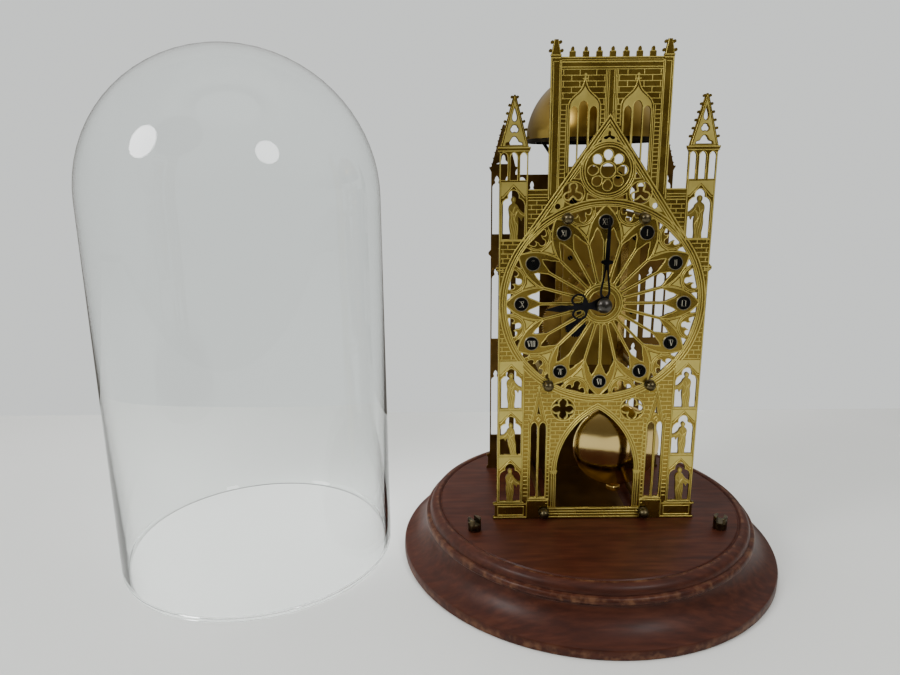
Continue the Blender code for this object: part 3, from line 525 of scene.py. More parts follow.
def front_holes():
    """Every opening through the front facade."""
    sided = [niche(sill, top) for sill, top, _ in LEVELS] + [lancet(*light) for light in LANCETS]
    sided += [LANCET_EYE] + [cut_light(*light) for light in TOWER_LIGHTS]
    sided += [lancet(*light) for light in CROWN_LIGHTS]
    sided += [over_column(symmetric(half)) for half in (TEARDROP, PINNACLE_LOBES, PINNACLE_HEART)]
    sided += [ring(ROUNDEL, 7.6, 40), ring(TREFOIL, 6.9, 36)] + GABLE_EYES
    loops = [side for loop in sided for side in (loop, mirrored(loop))]
    loops += [dial_window(index) for index in range(24)]
    for index in range(12):
        loops.append(polar(CUSPED, 15 + 30 * index))
        loops += [polar([(r, side * a) for r, a in SLIVER], 30 * index) for side in (-1, 1)]
    loops += [polar(rosette_petal(), 45 * index, ROSETTE) for index in range(8)]
    loops += [ring((0.0, DIAL), 8.8, 48), ring(ROSETTE, 4.3, 28), symmetric(GABLE_TIP),
              symmetric(GABLE_TREFOIL)]
    return loops + [[(-DOOR_HALF, 8.4), (DOOR_HALF, 8.4)] + doorway()]


def rosette_petal(grow=0.0):
    """A horseshoe light of the rosette, as radius and bearing."""
    loop = arc((9.9, 0.0), 3.0 + grow, 145, -145, 14) + [(6.5 - grow, -1.3), (6.5 - grow, 1.3)]
    return [(math.hypot(x, z), math.degrees(math.atan2(z, x))) for x, z in loop]


def column_edge(cornice, apex):
    """The right column's edge: plinth, capital, cornice and pinnacle, then down to the wall's top."""
    return [(73.0, 0.0), (73.0, 1.4), (71.8, 2.2), (71.8, 10.4), (73.0, 11.2), (73.0, 12.4), (70.4, 13.2),
            (70.4, 181.0), (71.4, 181.8), (72.3, 182.8), (72.3, 184.0), (71.4, 185.2), (70.4, 186.2),
            (70.4, cornice - 4.0), (71.0, cornice - 2.6), (71.9, cornice - 1.2), (71.9, cornice),
            (70.4, cornice), (62.0, apex - 0.9), (61.4, apex), (60.6, apex), (60.0, apex - 0.9),
            (51.6, cornice), (50.3, cornice), (50.3, cornice - 1.2), (51.0, cornice - 2.6),
            (51.7, cornice - 4.0)]


def front_edge():
    """The front facade's outline."""
    half = [(0.0, 0.0)] + column_edge(262.5, 294.4)
    half += [(51.7, 235.6), (38.6, 235.6), (38.6, 316.9), (38.9, 317.2), (38.9, 318.1), (38.5, 318.2),
             (36.8, 326.9), (34.2, 326.9), (32.5, 318.2), (32.1, 318.1), (32.1, 317.2), (32.3, 316.6)]
    merlon = [(1.95, 316.6), (1.95, 319.6), (1.7, 320.0), (0.95, 320.2), (1.05, 321.3), (0.75, 322.2),
              (0.3, 322.7)]
    for index in (3, 2, 1):
        half += [(index * 8.4 + x, z) for x, z in merlon] + [(index * 8.4 - x, z)
                                                             for x, z in reversed(merlon)]
    half += merlon
    return half + mirrored(half)[:-1]


# ---- front facade: raised work ----
def ring_x(z):
    """Where the dial's rim crosses a height, or nothing."""
    rise = z - DIAL
    return math.sqrt(DIAL_RIM * DIAL_RIM - rise * rise) if abs(rise) < DIAL_RIM else 0.0


def door_x(z):
    """Where the doorway's outer line crosses a height."""
    radius = DOOR_RADIUS + DOOR_MOULDING
    rise = max(0.0, z - DOOR_SPRING)
    return max(0.0, DOOR_HALF - DOOR_RADIUS
               + math.sqrt(radius * radius - rise * rise)) if rise < radius else 0.0


def without(spans, low, high):
    """Spans with a stretch taken out."""
    kept = []
    for a, b in spans:
        kept += [(a, min(b, low)), (max(a, high), b)]
    return [(a, b) for a, b in kept if b - a > 0.7]


def across_circle(spans, z, centre, radius):
    """Spans with a circle taken out."""
    rise = z - centre[1]
    if abs(rise) >= radius:
        return spans
    half = math.sqrt(radius * radius - rise * rise)
    return without(spans, centre[0] - half, centre[0] + half)


def wall_spans(z):
    """Brickwork round the doorway and below the dial."""
    spans = [(max(door_x(z), ring_x(z)), 51.2 if z > 76.2 else 33.3)]
    spans = across_circle(spans, z, ROUNDEL, 8.9)
    if z > 76.2:
        half = 1.0 + max(0.0, 100.5 - z) * 0.225
        spans = without(spans, 41.4 - half, 41.4 + half) if z < 102 else spans
    return [(a, b) for a, b in spans if b - a > 0.7]


def column_spans(z):
    """Brickwork of the side columns beside the dial."""
    low = max(52.9, ring_x(z), (GABLES[0][0] + 0.9 - z) / SLOPE if z > 199 else 0.0)
    return [(low, 69.0)] if low < 68.0 else []


def link_spans(z):
    """Brickwork of the low walls between tower and columns."""
    return [(max(39.2, (GABLES[0][0] + 0.8 - z) / SLOPE), 51.3)]


LABEL = [(27.0, 246.0), (27.0, 285.5), (26.7, 288.1), (25.6, 291.0), (22.5, 294.0), (19.6, 296.7),
         (18.1, 299.4), (17.4, 301.6), (16.7, 303.6), (16.0, 301.6), (15.3, 299.4), (13.8, 296.7),
         (10.9, 294.0), (7.8, 291.0), (6.7, 288.1), (6.4, 285.5), (6.4, 275.0)]
LABEL_FILL = [(9.2, 285.5), (9.0, 288.2), (8.1, 290.2), (5.8, 292.6), (3.0, 294.8), (1.0, 297.2),
              (0.0, 299.1)]


def tower_spans(z):
    """Brickwork of the tower, on either side of a window's label."""
    spans = [(3.7, 31.5)]
    heights = [p for p in LABEL if p[0] >= 16.7]
    for (x0, z0), (x1, z1) in zip(heights, heights[1:]):
        if z0 <= z < z1:
            x = x0 + (x1 - x0) * (z - z0) / (z1 - z0)
            return without(spans, 33.4 - x - 0.3, x + 0.3)
    return spans


def brickwork(relief, low, high, spans, pitch=8.0, course=COURSE):
    """Raised mortar lines, both sides of the facade."""
    levels = int((high - low) / course)
    for index in range(levels + 1):
        z = low + index * course
        for a, b in spans(z):
            relief.strip([(a, z), (b, z)], 0.5, both=True)
        for a, b in spans(z + course / 2):
            x = 2.0 + pitch * (0.25 + 0.5 * (index % 2))
            while x < b - 0.8:
                if x > a + 0.8 and index < levels:
                    relief.strip([(x, z), (x, z + course)], 0.5, both=True)
                x += pitch


def ladder(relief, left, right, low, high, course=2.6):
    """Quoin blocks between two lines."""
    z = low
    while z < high:
        relief.strip([(left, z), (right, z)], 0.55, both=True)
        z += course


def crockets(relief, foot, tip, count, size):
    """Leaves along a sloping edge, standing on its outer side."""
    run = Vector(tip) - Vector(foot)
    out = Vector((run.y, -run.x)).normalized() * (1 if run.y > 0 else -1)
    for index in range(count):
        at = Vector(foot) + run * ((index + 0.35) / count)
        leaf = [at + out * size * k + run.normalized() * size * m
                for k, m in ((-0.6, -0.7), (0.7, -0.4), (1.35, 0.1), (1.1, 0.75), (0.4, 0.5), (-0.6, 0.7))]
        relief.slab([(p.x, p.y) for p in leaf], top=RELIEF - 0.02, bottom=-2.03, both=True)


# Each level's figures: their height, then the right one's arm and sway and the left one's.
FIGURES = ((28.8, (-1, 0.0), (-1, -0.02)), (26.6, (-1, 0.03), (-1, -0.01)), (24.8, (-1, 0.0), (1, -0.10)),
           (26.2, (1, 0.03), (-1, 0.0)))


def statue(relief, figures, sill, tall, arm, sway, mirror):
    """A robed figure standing on its sill, one draped arm out to the niche's side."""
    right = [(0.088, 0.0), (0.096, 0.14), (0.118, 0.30), (0.122, 0.42), (0.110, 0.53), (0.126, 0.64),
             (0.132, 0.72), (0.104, 0.79), (0.044, 0.835), (0.044, 0.86), (0.062, 0.90), (0.056, 0.955),
             (0.0, 0.99)]
    left = [(-x, z) for x, z in reversed(right[:-1])]

    def put(points):
        stood = [(COLUMN + (x * 0.9 + sway * (1.0 - z) ** 2) * tall, sill - 0.6 + z * tall)
                 for x, z in points]
        return mirrored(stood) if mirror else stood

    figures.slab(smooth(put(right + left), 3, True), top=RELIEF - 0.2, bottom=BEHIND)
    reach = 8.7 / tall
    limb = [(0.06, 0.79), (0.14, 0.72), (0.22, 0.645), (reach, 0.60), (reach, 0.50), (0.235, 0.53),
            (0.20, 0.44), (0.17, 0.50), (0.10, 0.55)]
    figures.slab(put([(arm * x, z) for x, z in limb]), top=RELIEF - 0.24, bottom=-1.8)
    folds = [[(-0.055, 0.01), (-0.06, 0.2), (-0.02, 0.42), (0.02, 0.6), (-0.03, 0.76)],
             [(-0.015, 0.01), (-0.005, 0.2), (0.045, 0.40), (0.06, 0.6)],
             [(0.03, 0.01), (0.045, 0.16), (0.09, 0.36), (0.09, 0.48)], [(0.068, 0.01), (0.085, 0.18)],
             [(-0.10, 0.34), (-0.02, 0.48), (arm * 0.10, 0.66)], [(-0.09, 0.66), (0.0, 0.58), (0.10, 0.68)],
             [(arm * 0.10, 0.70), (arm * 0.17, 0.61), (arm * 0.27, 0.56)],
             [(-0.085, 0.12), (-0.10, 0.28), (-0.07, 0.40)]]
    for fold in folds:
        relief.strip(smooth(put(fold), 3), 0.36, top=RELIEF, bottom=-0.1, bevel=0.1)
    relief.strip(put([(0.0, 0.955), (0.0, 0.885)]), 0.9, top=RELIEF, bottom=-0.1)


def tower_lines(art):
    """The tower's posts, string courses and brickwork, and its two windows under their labels."""
    art.twin(0.7, (38.2, 229.0), (38.2, 316.0), (32.3, 316.0))
    for x, low in ((32.9, 235.0), (32.0, 236.2)):
        art.twin(0.55, (x, low), (x, 314.6))
    art.twin(0.45, (36.9, 232.0), (36.9, 313.8), (33.9, 313.8))
    for z, width in ((316.2, 0.6), (314.8, 0.35), (313.5, 0.8), (310.5, 0.6), (309.1, 0.5)):
        art.line(width, (-31.8, z), (31.8, z))
    for x in (1.6, 2.8):
        art.strip([(x, 308.7), (x, GABLES[0][0] - SLOPE * x + 0.3)], 0.5, both=True)
    brickwork(art, 288.1, 309.1, tower_spans, 10.4, 3.5)
    ladder(art, 28.2, 31.6, 243.0, 287.0)
    ladder(art, 3.9, 6.4, 277.0, 287.0)
    art.twin(0.5, (28.2, 241.8), (28.2, 287.6))
    art.twin(0.45, (3.7, 277.5), (3.7, 308.7))
    art.twin(0.6, (32.2, 317.6), (38.8, 317.6))
    art.twin(0.3, (32.9, 318.0), (34.5, 326.6))
    art.twin(0.3, (38.1, 318.0), (36.5, 326.6))
    for index in range(-3, 4):
        art.line(0.35, (index * 8.4 - 1.7, 319.7), (index * 8.4 + 1.7, 319.7))
    label = smooth(LABEL, 2)
    lights = [cut_light(*light) for light in TOWER_LIGHTS]
    inner = [(x, GABLES[0][0] + 1.3 - SLOPE * x) for x in (7.5, 25.9)]
    inner += [(16.7 + x, z) for x, z in LABEL_FILL] + [(16.7 - x, z) for x, z in reversed(LABEL_FILL[:-1])]
    art.slab(inner, lights, top=RELIEF - 0.1, both=True)
    art.strip(label, 0.55, both=True)
    for light in lights:
        art.strip(outset(light, 0.3)[1:] + outset(light, 0.3)[:1], 0.5, top=RELIEF, both=True)
    art.twin(0.8, (16.7, 302.6), (16.7, 305.6))
    art.twin(0.7, (15.0, 303.6), (18.4, 303.6))
    art.slab(ring((16.7, 306.1), 0.8, 10), both=True)


def gable_lines(art):
    """The great gable, its trefoils and the rosette's rings."""
    for (apex, width), (radius, _) in zip(GABLES, RINGS):
        foot = (radius * math.cos(math.radians(34.66)), DIAL + radius * math.sin(math.radians(34.66)))
        if apex < 276:
            art.line(width, (24.2, 240.9), (0.0, apex), (-24.2, 240.9))
            art.strip([(28.9, 234.1), foot], width, both=True)
        else:
            art.strip([foot, (0.0, apex), (-foot[0], foot[1])], width)
    holes = [symmetric(GABLE_TREFOIL), symmetric(GABLE_TIP)]
    sided = GABLE_EYES + [ring(TREFOIL, 7.2, 36)]
    art.slab([(0.0, 275.6), (-4.5, 268.9), (-4.5, 265.5)] + arc(ROSETTE, 18.1, 104.0, 76.0, 6)
             + [(4.5, 265.5), (4.5, 268.9)], holes, top=RELIEF - 0.1)
    art.slab([(37.0, 220.6), (33.9, 225.4), (31.3, 229.0), (28.9, 230.2), (27.6, 227.6), (28.2, 224.2),
              (31.0, 222.35), (34.0, 220.7)], [GABLE_EYES[-1]], top=RELIEF - 0.1, both=True)
    for loop in sided:
        art.strip(outset(loop, 0.3), 0.5, True, both=True)
    for loop in holes[:2]:
        art.strip(outset(loop, 0.25), 0.4, True)
    for radius, width in ((17.9, 0.7), (16.6, 0.55), (15.0, 0.6), (5.0, 0.7)):
        art.strip(ring(ROSETTE, radius, 64), width, True)
    for index in range(8):
        art.strip(polar(rosette_petal(0.3), 45 * index, ROSETTE), 0.5, True)
    tracery_trefoil(art)


def dial_lines(art):
    """The dial's rings, lights, petals and bows."""
    for radius, width in RINGS:
        art.strip(ring((0.0, DIAL), radius, 144), width, True)
    for radius, width in ((9.2, 0.6), (12.0, 0.6), (13.5, 0.7)):
        art.strip(ring((0.0, DIAL), radius, 64), width, True)
    for index in range(24):
        art.strip(outset(dial_window(index), 0.27), 0.48, True)
    for index in range(12):
        turn = 30 * index
        art.strip(smooth(polar(PETAL, turn), 3), 0.55)
        art.strip(ring(polar([(54.9, 0.0)], turn)[0], 4.9, 40), 0.2, True, top=RELIEF - 0.2)
        art.slab(polar(TRIANGLE, turn + 15), top=RELIEF - 0.03)
        art.strip(outset(polar(TRIANGLE, turn + 15), 1.0), 0.4, True)
        art.strip(outset(polar(CUSPED, turn + 15), 0.25), 0.42, True)
        bow = polar([(63.4, 0.0)], turn + 15)[0]
        bearing = 90 - (turn + 15)
        art.strip(arc(bow, 8.9, bearing + 98, bearing + 262, 18), 0.5)
        art.strip(arc(bow, 7.9, bearing + 98, bearing + 262, 18), 0.4)
        art.strip(outset(polar(SLIVER, turn), 0.2), 0.35, True)
        art.strip(outset(polar([(r, -a) for r, a in SLIVER], turn), 0.2), 0.35, True)


def door_lines(art):
    """The doorway's mouldings and jambs, and the brickwork and roundels beside it."""
    for reach, width in ((0.35, 0.6), (1.7, 0.7), (3.3, 0.7)):
        art.strip(doorway(reach), width)
        art.twin(width, (27.8 + reach, 36.0), (27.8 + reach, 9.6))
    art.slab([(27.6, 35.4), (27.6, 36.4), (27.2, 37.0), (27.2, 37.8), (32.6, 37.8), (32.6, 37.0),
              (31.9, 36.4), (31.9, 35.4)], both=True)
    art.slab([(27.4, 8.4), (27.4, 9.3), (32.8, 9.3), (32.8, 8.4)], top=RELIEF, both=True)
    for z, width in ((7.8, 0.9), (5.6, 1.0), (3.5, 1.0), (1.3, 1.0)):
        art.line(width, (-32.6, z), (32.6, z))
    brickwork(art, 40.7, 122.0, wall_spans, 6.4)
    ladder(art, 32.9, 35.0, 12.0, 75.0, 3.05)
    ladder(art, 48.4, 51.4, 18.0, 77.0, 3.05)
    for x in (33.0, 35.1, 48.2):
        art.twin(0.5, (x, 15.2), (x, 74.5))
    art.strip(ring(ROUNDEL, 8.5, 48), 0.6, True, both=True)
    tracery_roundel(art)


def lancet_lines(art):
    """The twin lancets under their crocketed gable."""
    for light in LANCETS:
        art.strip(outset(lancet(*light), 0.3), 0.5, True, both=True)
    art.strip(outset(LANCET_EYE, 0.35), 0.4, True, both=True)
    art.twin(0.6, (46.9, 74.6), (41.4, 98.6), (35.6, 74.6))
    art.twin(0.4, (45.6, 75.6), (41.4, 94.5), (36.9, 75.6))
    art.twin(0.9, (41.4, 98.0), (41.4, 102.4))
    art.twin(0.9, (40.1, 100.2), (42.7, 100.2))
    art.strip([(41.4, 78.2), (42.7, 76.7), (41.4, 75.2), (40.1, 76.7)], 0.45, True, both=True)
    for foot in ((47.2, 75.0), (35.3, 75.0)):
        for step in range(7):
            t = (step + 0.5) / 7
            out = 0.6 if foot[0] > 41.4 else -0.6
            art.slab(ring((foot[0] + (41.4 - foot[0]) * t + out, foot[1] + 23.0 * t), 0.6, 8), both=True)


def plinth_lines(art):
    """The blocks under the lancets and the columns' plinths."""
    for z in (14.3, 15.7):
        art.twin(0.7, (33.2, z), (48.2, z))
    art.twin(0.6, (33.2, 14.3), (33.2, 1.2))
    art.twin(0.7, (48.7, 14.3), (48.7, 1.2), (72.4, 1.2))
    art.strip([(50.9, 2.9), (69.6, 2.9), (69.6, 9.6), (50.9, 9.6)], 0.7, True, both=True)
    art.twin(0.8, (49.2, 11.5), (72.6, 11.5))
    art.twin(0.6, (51.0, 12.9), (70.0, 12.9))


def column_lines(art, figures):
    """The columns' edges, brickwork and cornices, and the niches with their figures."""
    for x in (52.3, 69.8):
        art.twin(0.6, (x, 13.4), (x, DIAL - math.sqrt(max(0.0, 69.9 ** 2 - x * x))))
    art.twin(0.6, (69.8, DIAL + 6.0), (69.8, 258.6))
    art.strip([(52.3, GABLES[0][0] - SLOPE * 52.3 + 0.8), (52.3, 258.6)], 0.6, both=True)
    for z, out in ((184.3, 72.2), (182.6, 71.6)):
        art.twin(0.7, (ring_x(z) + 0.5, z), (out, z))
    brickwork(art, 120.4, 203.0, column_spans, 6.4)
    brickwork(art, 208.0, 228.6, link_spans, 7.0, 2.92)
    for z, width in ((235.2, 0.7), (232.2, 0.6), (230.4, 0.55), (228.6, 0.55)):
        art.twin(width, (39.0, z), (51.4, z))
    for (sill, top, above), (tall, *stances) in zip(LEVELS, FIGURES):
        foot = top - 4.0
        art.slab(over_column([(-8.2, foot + 0.2), (-7.4, foot + 0.2), (0.0, top + 3.9), (7.4, foot + 0.2),
                              (8.2, foot + 0.2), (8.2, above), (-8.2, above)]), top=RELIEF - 0.08, both=True)
        art.strip(over_column([(8.0, foot - 0.9), (7.0, foot - 0.9), (0.0, top + 2.9), (-7.0, foot - 0.9),
                               (-8.0, foot - 0.9)]), 0.5, both=True)
        art.strip(outset(niche(sill, top), 0.3), 0.5, True, both=True)
        art.twin(0.6, (COLUMN - 8.2, sill - 1.0), (COLUMN + 8.2, sill - 1.0))
        for (arm, sway), mirror in zip(stances, (False, True)):
            statue(art, figures, sill, tall, arm, sway, mirror)
    for light in CROWN_LIGHTS:
        art.strip(outset(lancet(*light), 0.25), 0.4, True, both=True)
    for z, width in ((259.9, 0.6), (262.0, 0.9)):
        art.twin(width, (50.6, z), (71.5, z))
    face = over_column(symmetric([(7.5, 263.0), (0.0, 291.2)]))
    openings = [over_column(symmetric(half)) for half in (TEARDROP, PINNACLE_LOBES, PINNACLE_HEART)]
    art.slab(face, [outset(loop, 0.5) for loop in openings], top=RELIEF - 0.08, both=True)
    art.twin(0.4, (COLUMN + 8.4, 262.9), (COLUMN, 293.4), (COLUMN - 8.4, 262.9))


def front_lines(figures):
    """Everything raised on the front facade; the statues' bodies go to a relief of their own."""
    art = Relief()
    for region in (tower_lines, gable_lines, dial_lines, door_lines, lancet_lines, plinth_lines):
        region(art)
    column_lines(art, figures)
    return art


def knobs():
    """The plain round crockets up the sides of the pinnacles and of the tower's corner posts."""
    art = Relief()
    for side in (-1, 1):
        for index in range(6):
            art.slab(ring((COLUMN + side * (1.8 + 1.42 * index), 293.0 - 4.95 * index), 0.95, 12), top=0.02,
                     bottom=THROUGH, both=True)
        for reach, height in ((2.6, 325.3), (3.6, 320.3)):
            art.slab(ring((35.5 + side * reach, height), 1.05, 12), top=0.02, bottom=THROUGH, both=True)
    return art


def tracery_trefoil(art):
    """A three-lobed ribbon standing free in the gable's two round lights."""
    lobes = []
    for bearing in (90, 330, 210):
        middle = arc(TREFOIL, 4.1, bearing, bearing, 1)[0]
        lobes += arc(middle, 2.5, bearing + 125, bearing - 125, 12)
        lobes.append(arc(TREFOIL, 2.1, bearing - 60, bearing - 60, 1)[0])
    art.strip(lobes, 0.85, True, bottom=BEHIND, both=True)


def tracery_roundel(art):
    """A thin cusped quatrefoil in each of the two roundels over the doorway."""
    lobe = [(4.4 + x, z) for x, z in arc((0.0, 0.0), 3.15, 20.0, 126.0, 10)]
    cusp = lobe + [(z, x) for x, z in reversed(lobe[:-1])]
    for quarter in range(4):
        path = [(ROUNDEL[0] + x, ROUNDEL[1] + z) for x, z in rotated(cusp, -90 * quarter)]
        art.strip(path, 0.75, bottom=BEHIND, both=True)


settle(pierced("front_facade", front_edge(), front_holes(), FIELD, front_high.y, FIELD_BRASS,
               (0.0, 0.0, FOOT)), FRAME_BODY, "etched_brass", "front_plate")
statues = Relief()
settle(front_lines(statues).made("front_relief", LINE_BRASS, FIELD), FRAME_BODY, "etched_brass")
settle(statues.made("front_statues", STATUE_BRASS, FIELD), FRAME_BODY, "etched_brass")
settle(knobs().made("front_crockets", FIELD_BRASS, FIELD), FRAME_BODY, "etched_brass")

# ---- round work ----
def lathe(name, profile, place, finish, axis, steps):
    """A turned body; profile is (radius, height) in mm, heights up the z axis or towards -y."""
    points = []
    rings_at = []
    for radius, height in profile:
        if radius < 1e-6:
            rings_at.append((len(points), 1))
            points.append((0.0, 0.0, height * MM))
        else:
            rings_at.append((len(points), steps))
            points += [(radius * MM * math.cos(2 * math.pi * i / steps),
                        radius * MM * math.sin(2 * math.pi * i / steps), height * MM) for i in range(steps)]
    faces = []
    closed = profile[0][0] > 1e-6
    pairs = list(zip(rings_at, rings_at[1:] + (rings_at[:1] if closed else [])))
    for (a, na), (b, nb) in pairs:
        for i in range(steps):
            j = (i + 1) % steps
            if na > 1 and nb > 1:
                faces.append((a + i, a + j, b + j, b + i))
            elif na > 1:
                faces.append((a + i, a + j, b))
            elif nb > 1:
                faces.append((a, b + j, b + i))
    if axis == "y":
        points = [(x, -h, z) for x, z, h in points]
    points = [(x + place[0], y + place[1], z + place[2]) for x, y, z in points]
    return mesh_object(name, points, faces, finish, smooth_below=32)


def band(count, pairs):
    """Faces between pairs of stacked loops, each with a count of points."""
    return [(a * count + i, a * count + (i + 1) % count, b * count + (i + 1) % count, b * count + i)
            for a, b in pairs for i in range(count)]


def at(x, height, y=0.0):
    """A place in the frame from mm off the centre line and above the facade's foot; y is in metres."""
    return (x * MM, y, FOOT + height * MM)


def lay(name, edge, holes, near, far, finish, place, *nodes, body=FRAME_BODY, slot="polished_brass"):
    """A pierced flat piece about a place, its y from near to far in mm, settled."""
    return settle(pierced(name, edge, holes, near * MM, far * MM, finish, place), body, slot, *nodes)


def turn(name, profile, place, finish, *nodes, body=FRAME_BODY, slot="polished_brass", axis="y", steps=64):
    """A turned piece, settled."""
    return settle(lathe(name, profile, place, finish, axis, steps), body, slot, *nodes)


# ---- base, studs, dome ----
top_face = [(0.0, 36.4), (60.0, 36.4), (109.6, 36.4), (110.6, 36.1), (111.2, 35.4), (111.8, 35.5)]
bead = smooth([(112.0, 35.9), (113.3, 36.8), (115.4, 36.5), (117.6, 35.2), (119.0, 33.2), (119.7, 30.9),
               (119.6, 30.3)])
bullnose = [(119.9, 30.1), (121.8, 29.9), (122.4, 29.4), (123.2, 27.0), (123.1, 26.3), (122.4, 25.5),
            (121.8, 25.0)]
cove = smooth([(121.9, 24.2), (123.4, 20.6), (126.2, 16.2), (130.2, 12.0), (134.6, 9.0), (138.4, 7.4)])
skirt = [(139.3, 6.9), (139.9, 5.8), (139.9, 0.8), (139.3, 0.0), (0.0, 0.0)]
turn("base_turning", top_face + bead + bullnose + cove + skirt, (0, 0, 0), MAHOGANY, "wood_base",
     slot="mahogany", axis="z", steps=160)

for side, hand in ((-1, "left"), (1, "right")):
    stud_low, stud_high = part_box("dome_stud_" + hand)
    middle = (stud_low + stud_high) / 2
    stud = [(0.0, 5.4), (4.5, 5.4), (4.7, 5.2), (4.7, 0.4), (4.5, 0.0), (0.0, 0.0)]
    turn("stud_" + hand, stud, (middle.x, middle.y, FOOT), ANTIQUE, "dome_stud_" + hand,
         slot="antique_brass", axis="z", steps=48)
    outward = Vector((middle.x, middle.y)).normalized()
    for half in (-1, 1):
        lip = []
        for height, radius in ((5.3, 4.7), (8.7, 4.7), (9.0, 4.4)):
            for along, out in arc((0, 0), radius, 26, 154, 16):
                lip.append((middle.x + (outward.x * out * half - outward.y * along) * MM, middle.y
                            + (outward.y * out * half + outward.x * along) * MM, FOOT + height * MM))
        count = len(lip) // 3
        faces = [tuple(range(count)), tuple(range(3 * count - 1, 2 * count - 1, -1))]
        faces += band(count, ((0, 1), (1, 2)))
        settle(mesh_object(f"stud_lip_{hand}_{half + 1}", lip, faces, ANTIQUE), FRAME_BODY, "antique_brass")

dome_low, dome_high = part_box("glass_dome")
dome_radius = (dome_high.x - dome_low.x) / 2 / MM
dome_height = dome_high.z / MM
wall = 1.5                     # the glass looks thinner than the model's solid wall
shoulder = (0.0, dome_height - dome_radius)
crown = arc(shoulder, dome_radius, 90, 0, 18)
inside = arc(shoulder, dome_radius - wall, 0, 90, 18)
crown[0] = (0.0, dome_height)
inside[-1] = (0.0, dome_height - wall)
lip = [(dome_radius, 4.0), (dome_radius + 0.2, 1.8), (dome_radius - 0.3, 0.5), (dome_radius - 1.4, 0.0),
       (dome_radius - 2.8, 0.3), (dome_radius - 3.2, 1.6), (dome_radius - wall, 4.0)]
dome = turn("dome_glass", crown + lip + inside, ((dome_low.x + dome_high.x) / 2, 0.0, 0.0), GLASS,
            "glass_dome", body="dome", slot="clear_glass", axis="z", steps=160)
dome.visible_shadow = False


# ---- pillars, nuts, numeral discs ----
shaft = [(0.0, 0.0), (2.5, 0.0), (2.5, 1.2), (2.1, 1.8), (2.1, 84.8), (2.5, 85.4), (2.5, 86.6), (0.0, 86.6)]
acorn = smooth([(3.2, 1.2), (3.75, 2.2), (3.5, 3.8), (2.6, 5.2), (1.2, 6.05), (0.0, 6.2)], 3)
acorn = [(0.0, 0.0), (3.9, 0.0), (3.9, 0.7), (3.3, 0.95)] + acorn
# The foot pillars take the dark brass as painted shade, so that they show no bright highlight.
for level, x, height, finish in (("top", 25.2, 216.7, PILLAR_BRASS), ("middle", 35.3, 102.0, PILLAR_BRASS),
                                 ("foot", 36.1, 5.2, DULL_BRASS)):
    for side, hand in ((-1, "left"), (1, "right")):
        where = f"{level}_{hand}"
        turn(f"pillar_{where}_turned", shaft, at(side * x, height, 0.0561), finish, "pillar_" + where,
             steps=32)
        turn("acorn_" + where, acorn, at(side * x, height, SEAT_Y), ANTIQUE, "nut_" + where,
             slot="antique_brass", steps=40)

# each letter's strokes as (start, end, thickness), and its width
STROKES = {"I": ([((0.0, -1.0), (0.0, 1.0), 0.34)], 0.62),
           "V": ([((-0.5, 1.0), (0.05, -1.0), 0.36), ((0.6, 1.0), (0.05, -1.0), 0.18)], 1.25),
           "X": ([((-0.55, 1.0), (0.55, -1.0), 0.36), ((0.55, 1.0), (-0.55, -1.0), 0.18)], 1.25)}


def numeral(word, centre, out):
    """Strokes of a Roman numeral with serifs, upright on its disc."""
    total = sum(STROKES[letter][1] for letter in word)
    x = -total / 2
    squeeze = min(1.9, 5.5 / total)
    for letter in word:
        strokes, width = STROKES[letter]
        for (x0, z0), (x1, z1), thick in strokes:
            a = (centre[0] + (x + width / 2 + x0) * squeeze, centre[1] + z0 * 2.0)
            b = (centre[0] + (x + width / 2 + x1) * squeeze, centre[1] + z1 * 2.0)
            out.strip([a, b], thick * 1.25, top=0.02, bottom=-0.1, bevel=0.02)
        for z in (-2.0, 2.0):
            span = (width / 2 - 0.11) * squeeze
            mid = centre[0] + (x + width / 2) * squeeze
            if letter == "I" or z > 0:
                out.strip([(mid - span, centre[1] + z), (mid + span, centre[1] + z)], 0.16, top=0.02,
                          bottom=-0.1, bevel=0.02)
        x += width


gilding = Relief()
rims = Relief()
for hour, word in enumerate(("I", "II", "III", "IV", "V", "VI", "VII", "VIII", "IX", "X", "XI", "XII"), 1):
    centre = polar([(54.9, 30 * hour)], 0.0)[0]
    disc = [(0.0, 0.0), (4.35, 0.0), (4.35, 0.45), (4.15, 0.7), (0.0, 0.7)]
    turn(f"disc_{hour:02d}", disc, at(*centre, SEAT_Y), ENAMEL, f"numeral_disc_{hour:02d}",
         slot="black_enamel", steps=48)
    numeral(word, centre, gilding)
    rims.strip(ring(centre, 4.68, 40), 0.42, True, top=-0.25, bottom=-0.6, bevel=0.08)
settle(gilding.made("numerals", GILT, -0.0345), FRAME_BODY, "black_enamel")
settle(rims.made("disc_rims", RIM_SILVER, -0.0345), FRAME_BODY, "black_enamel")


# ---- hands ----
def hand(name, halves, holes, degrees, near, far, body, node):
    """A pierced steel hand, drawn upright as its right half."""
    outline = smooth(halves, 2) + mirrored(smooth(halves, 2))
    loops = [rotated(hole, degrees) for hole in holes]
    lay(name, rotated(outline, degrees), loops, near, far, STEEL, at(0.0, AXIS), node, body=body,
        slot="blued_steel")


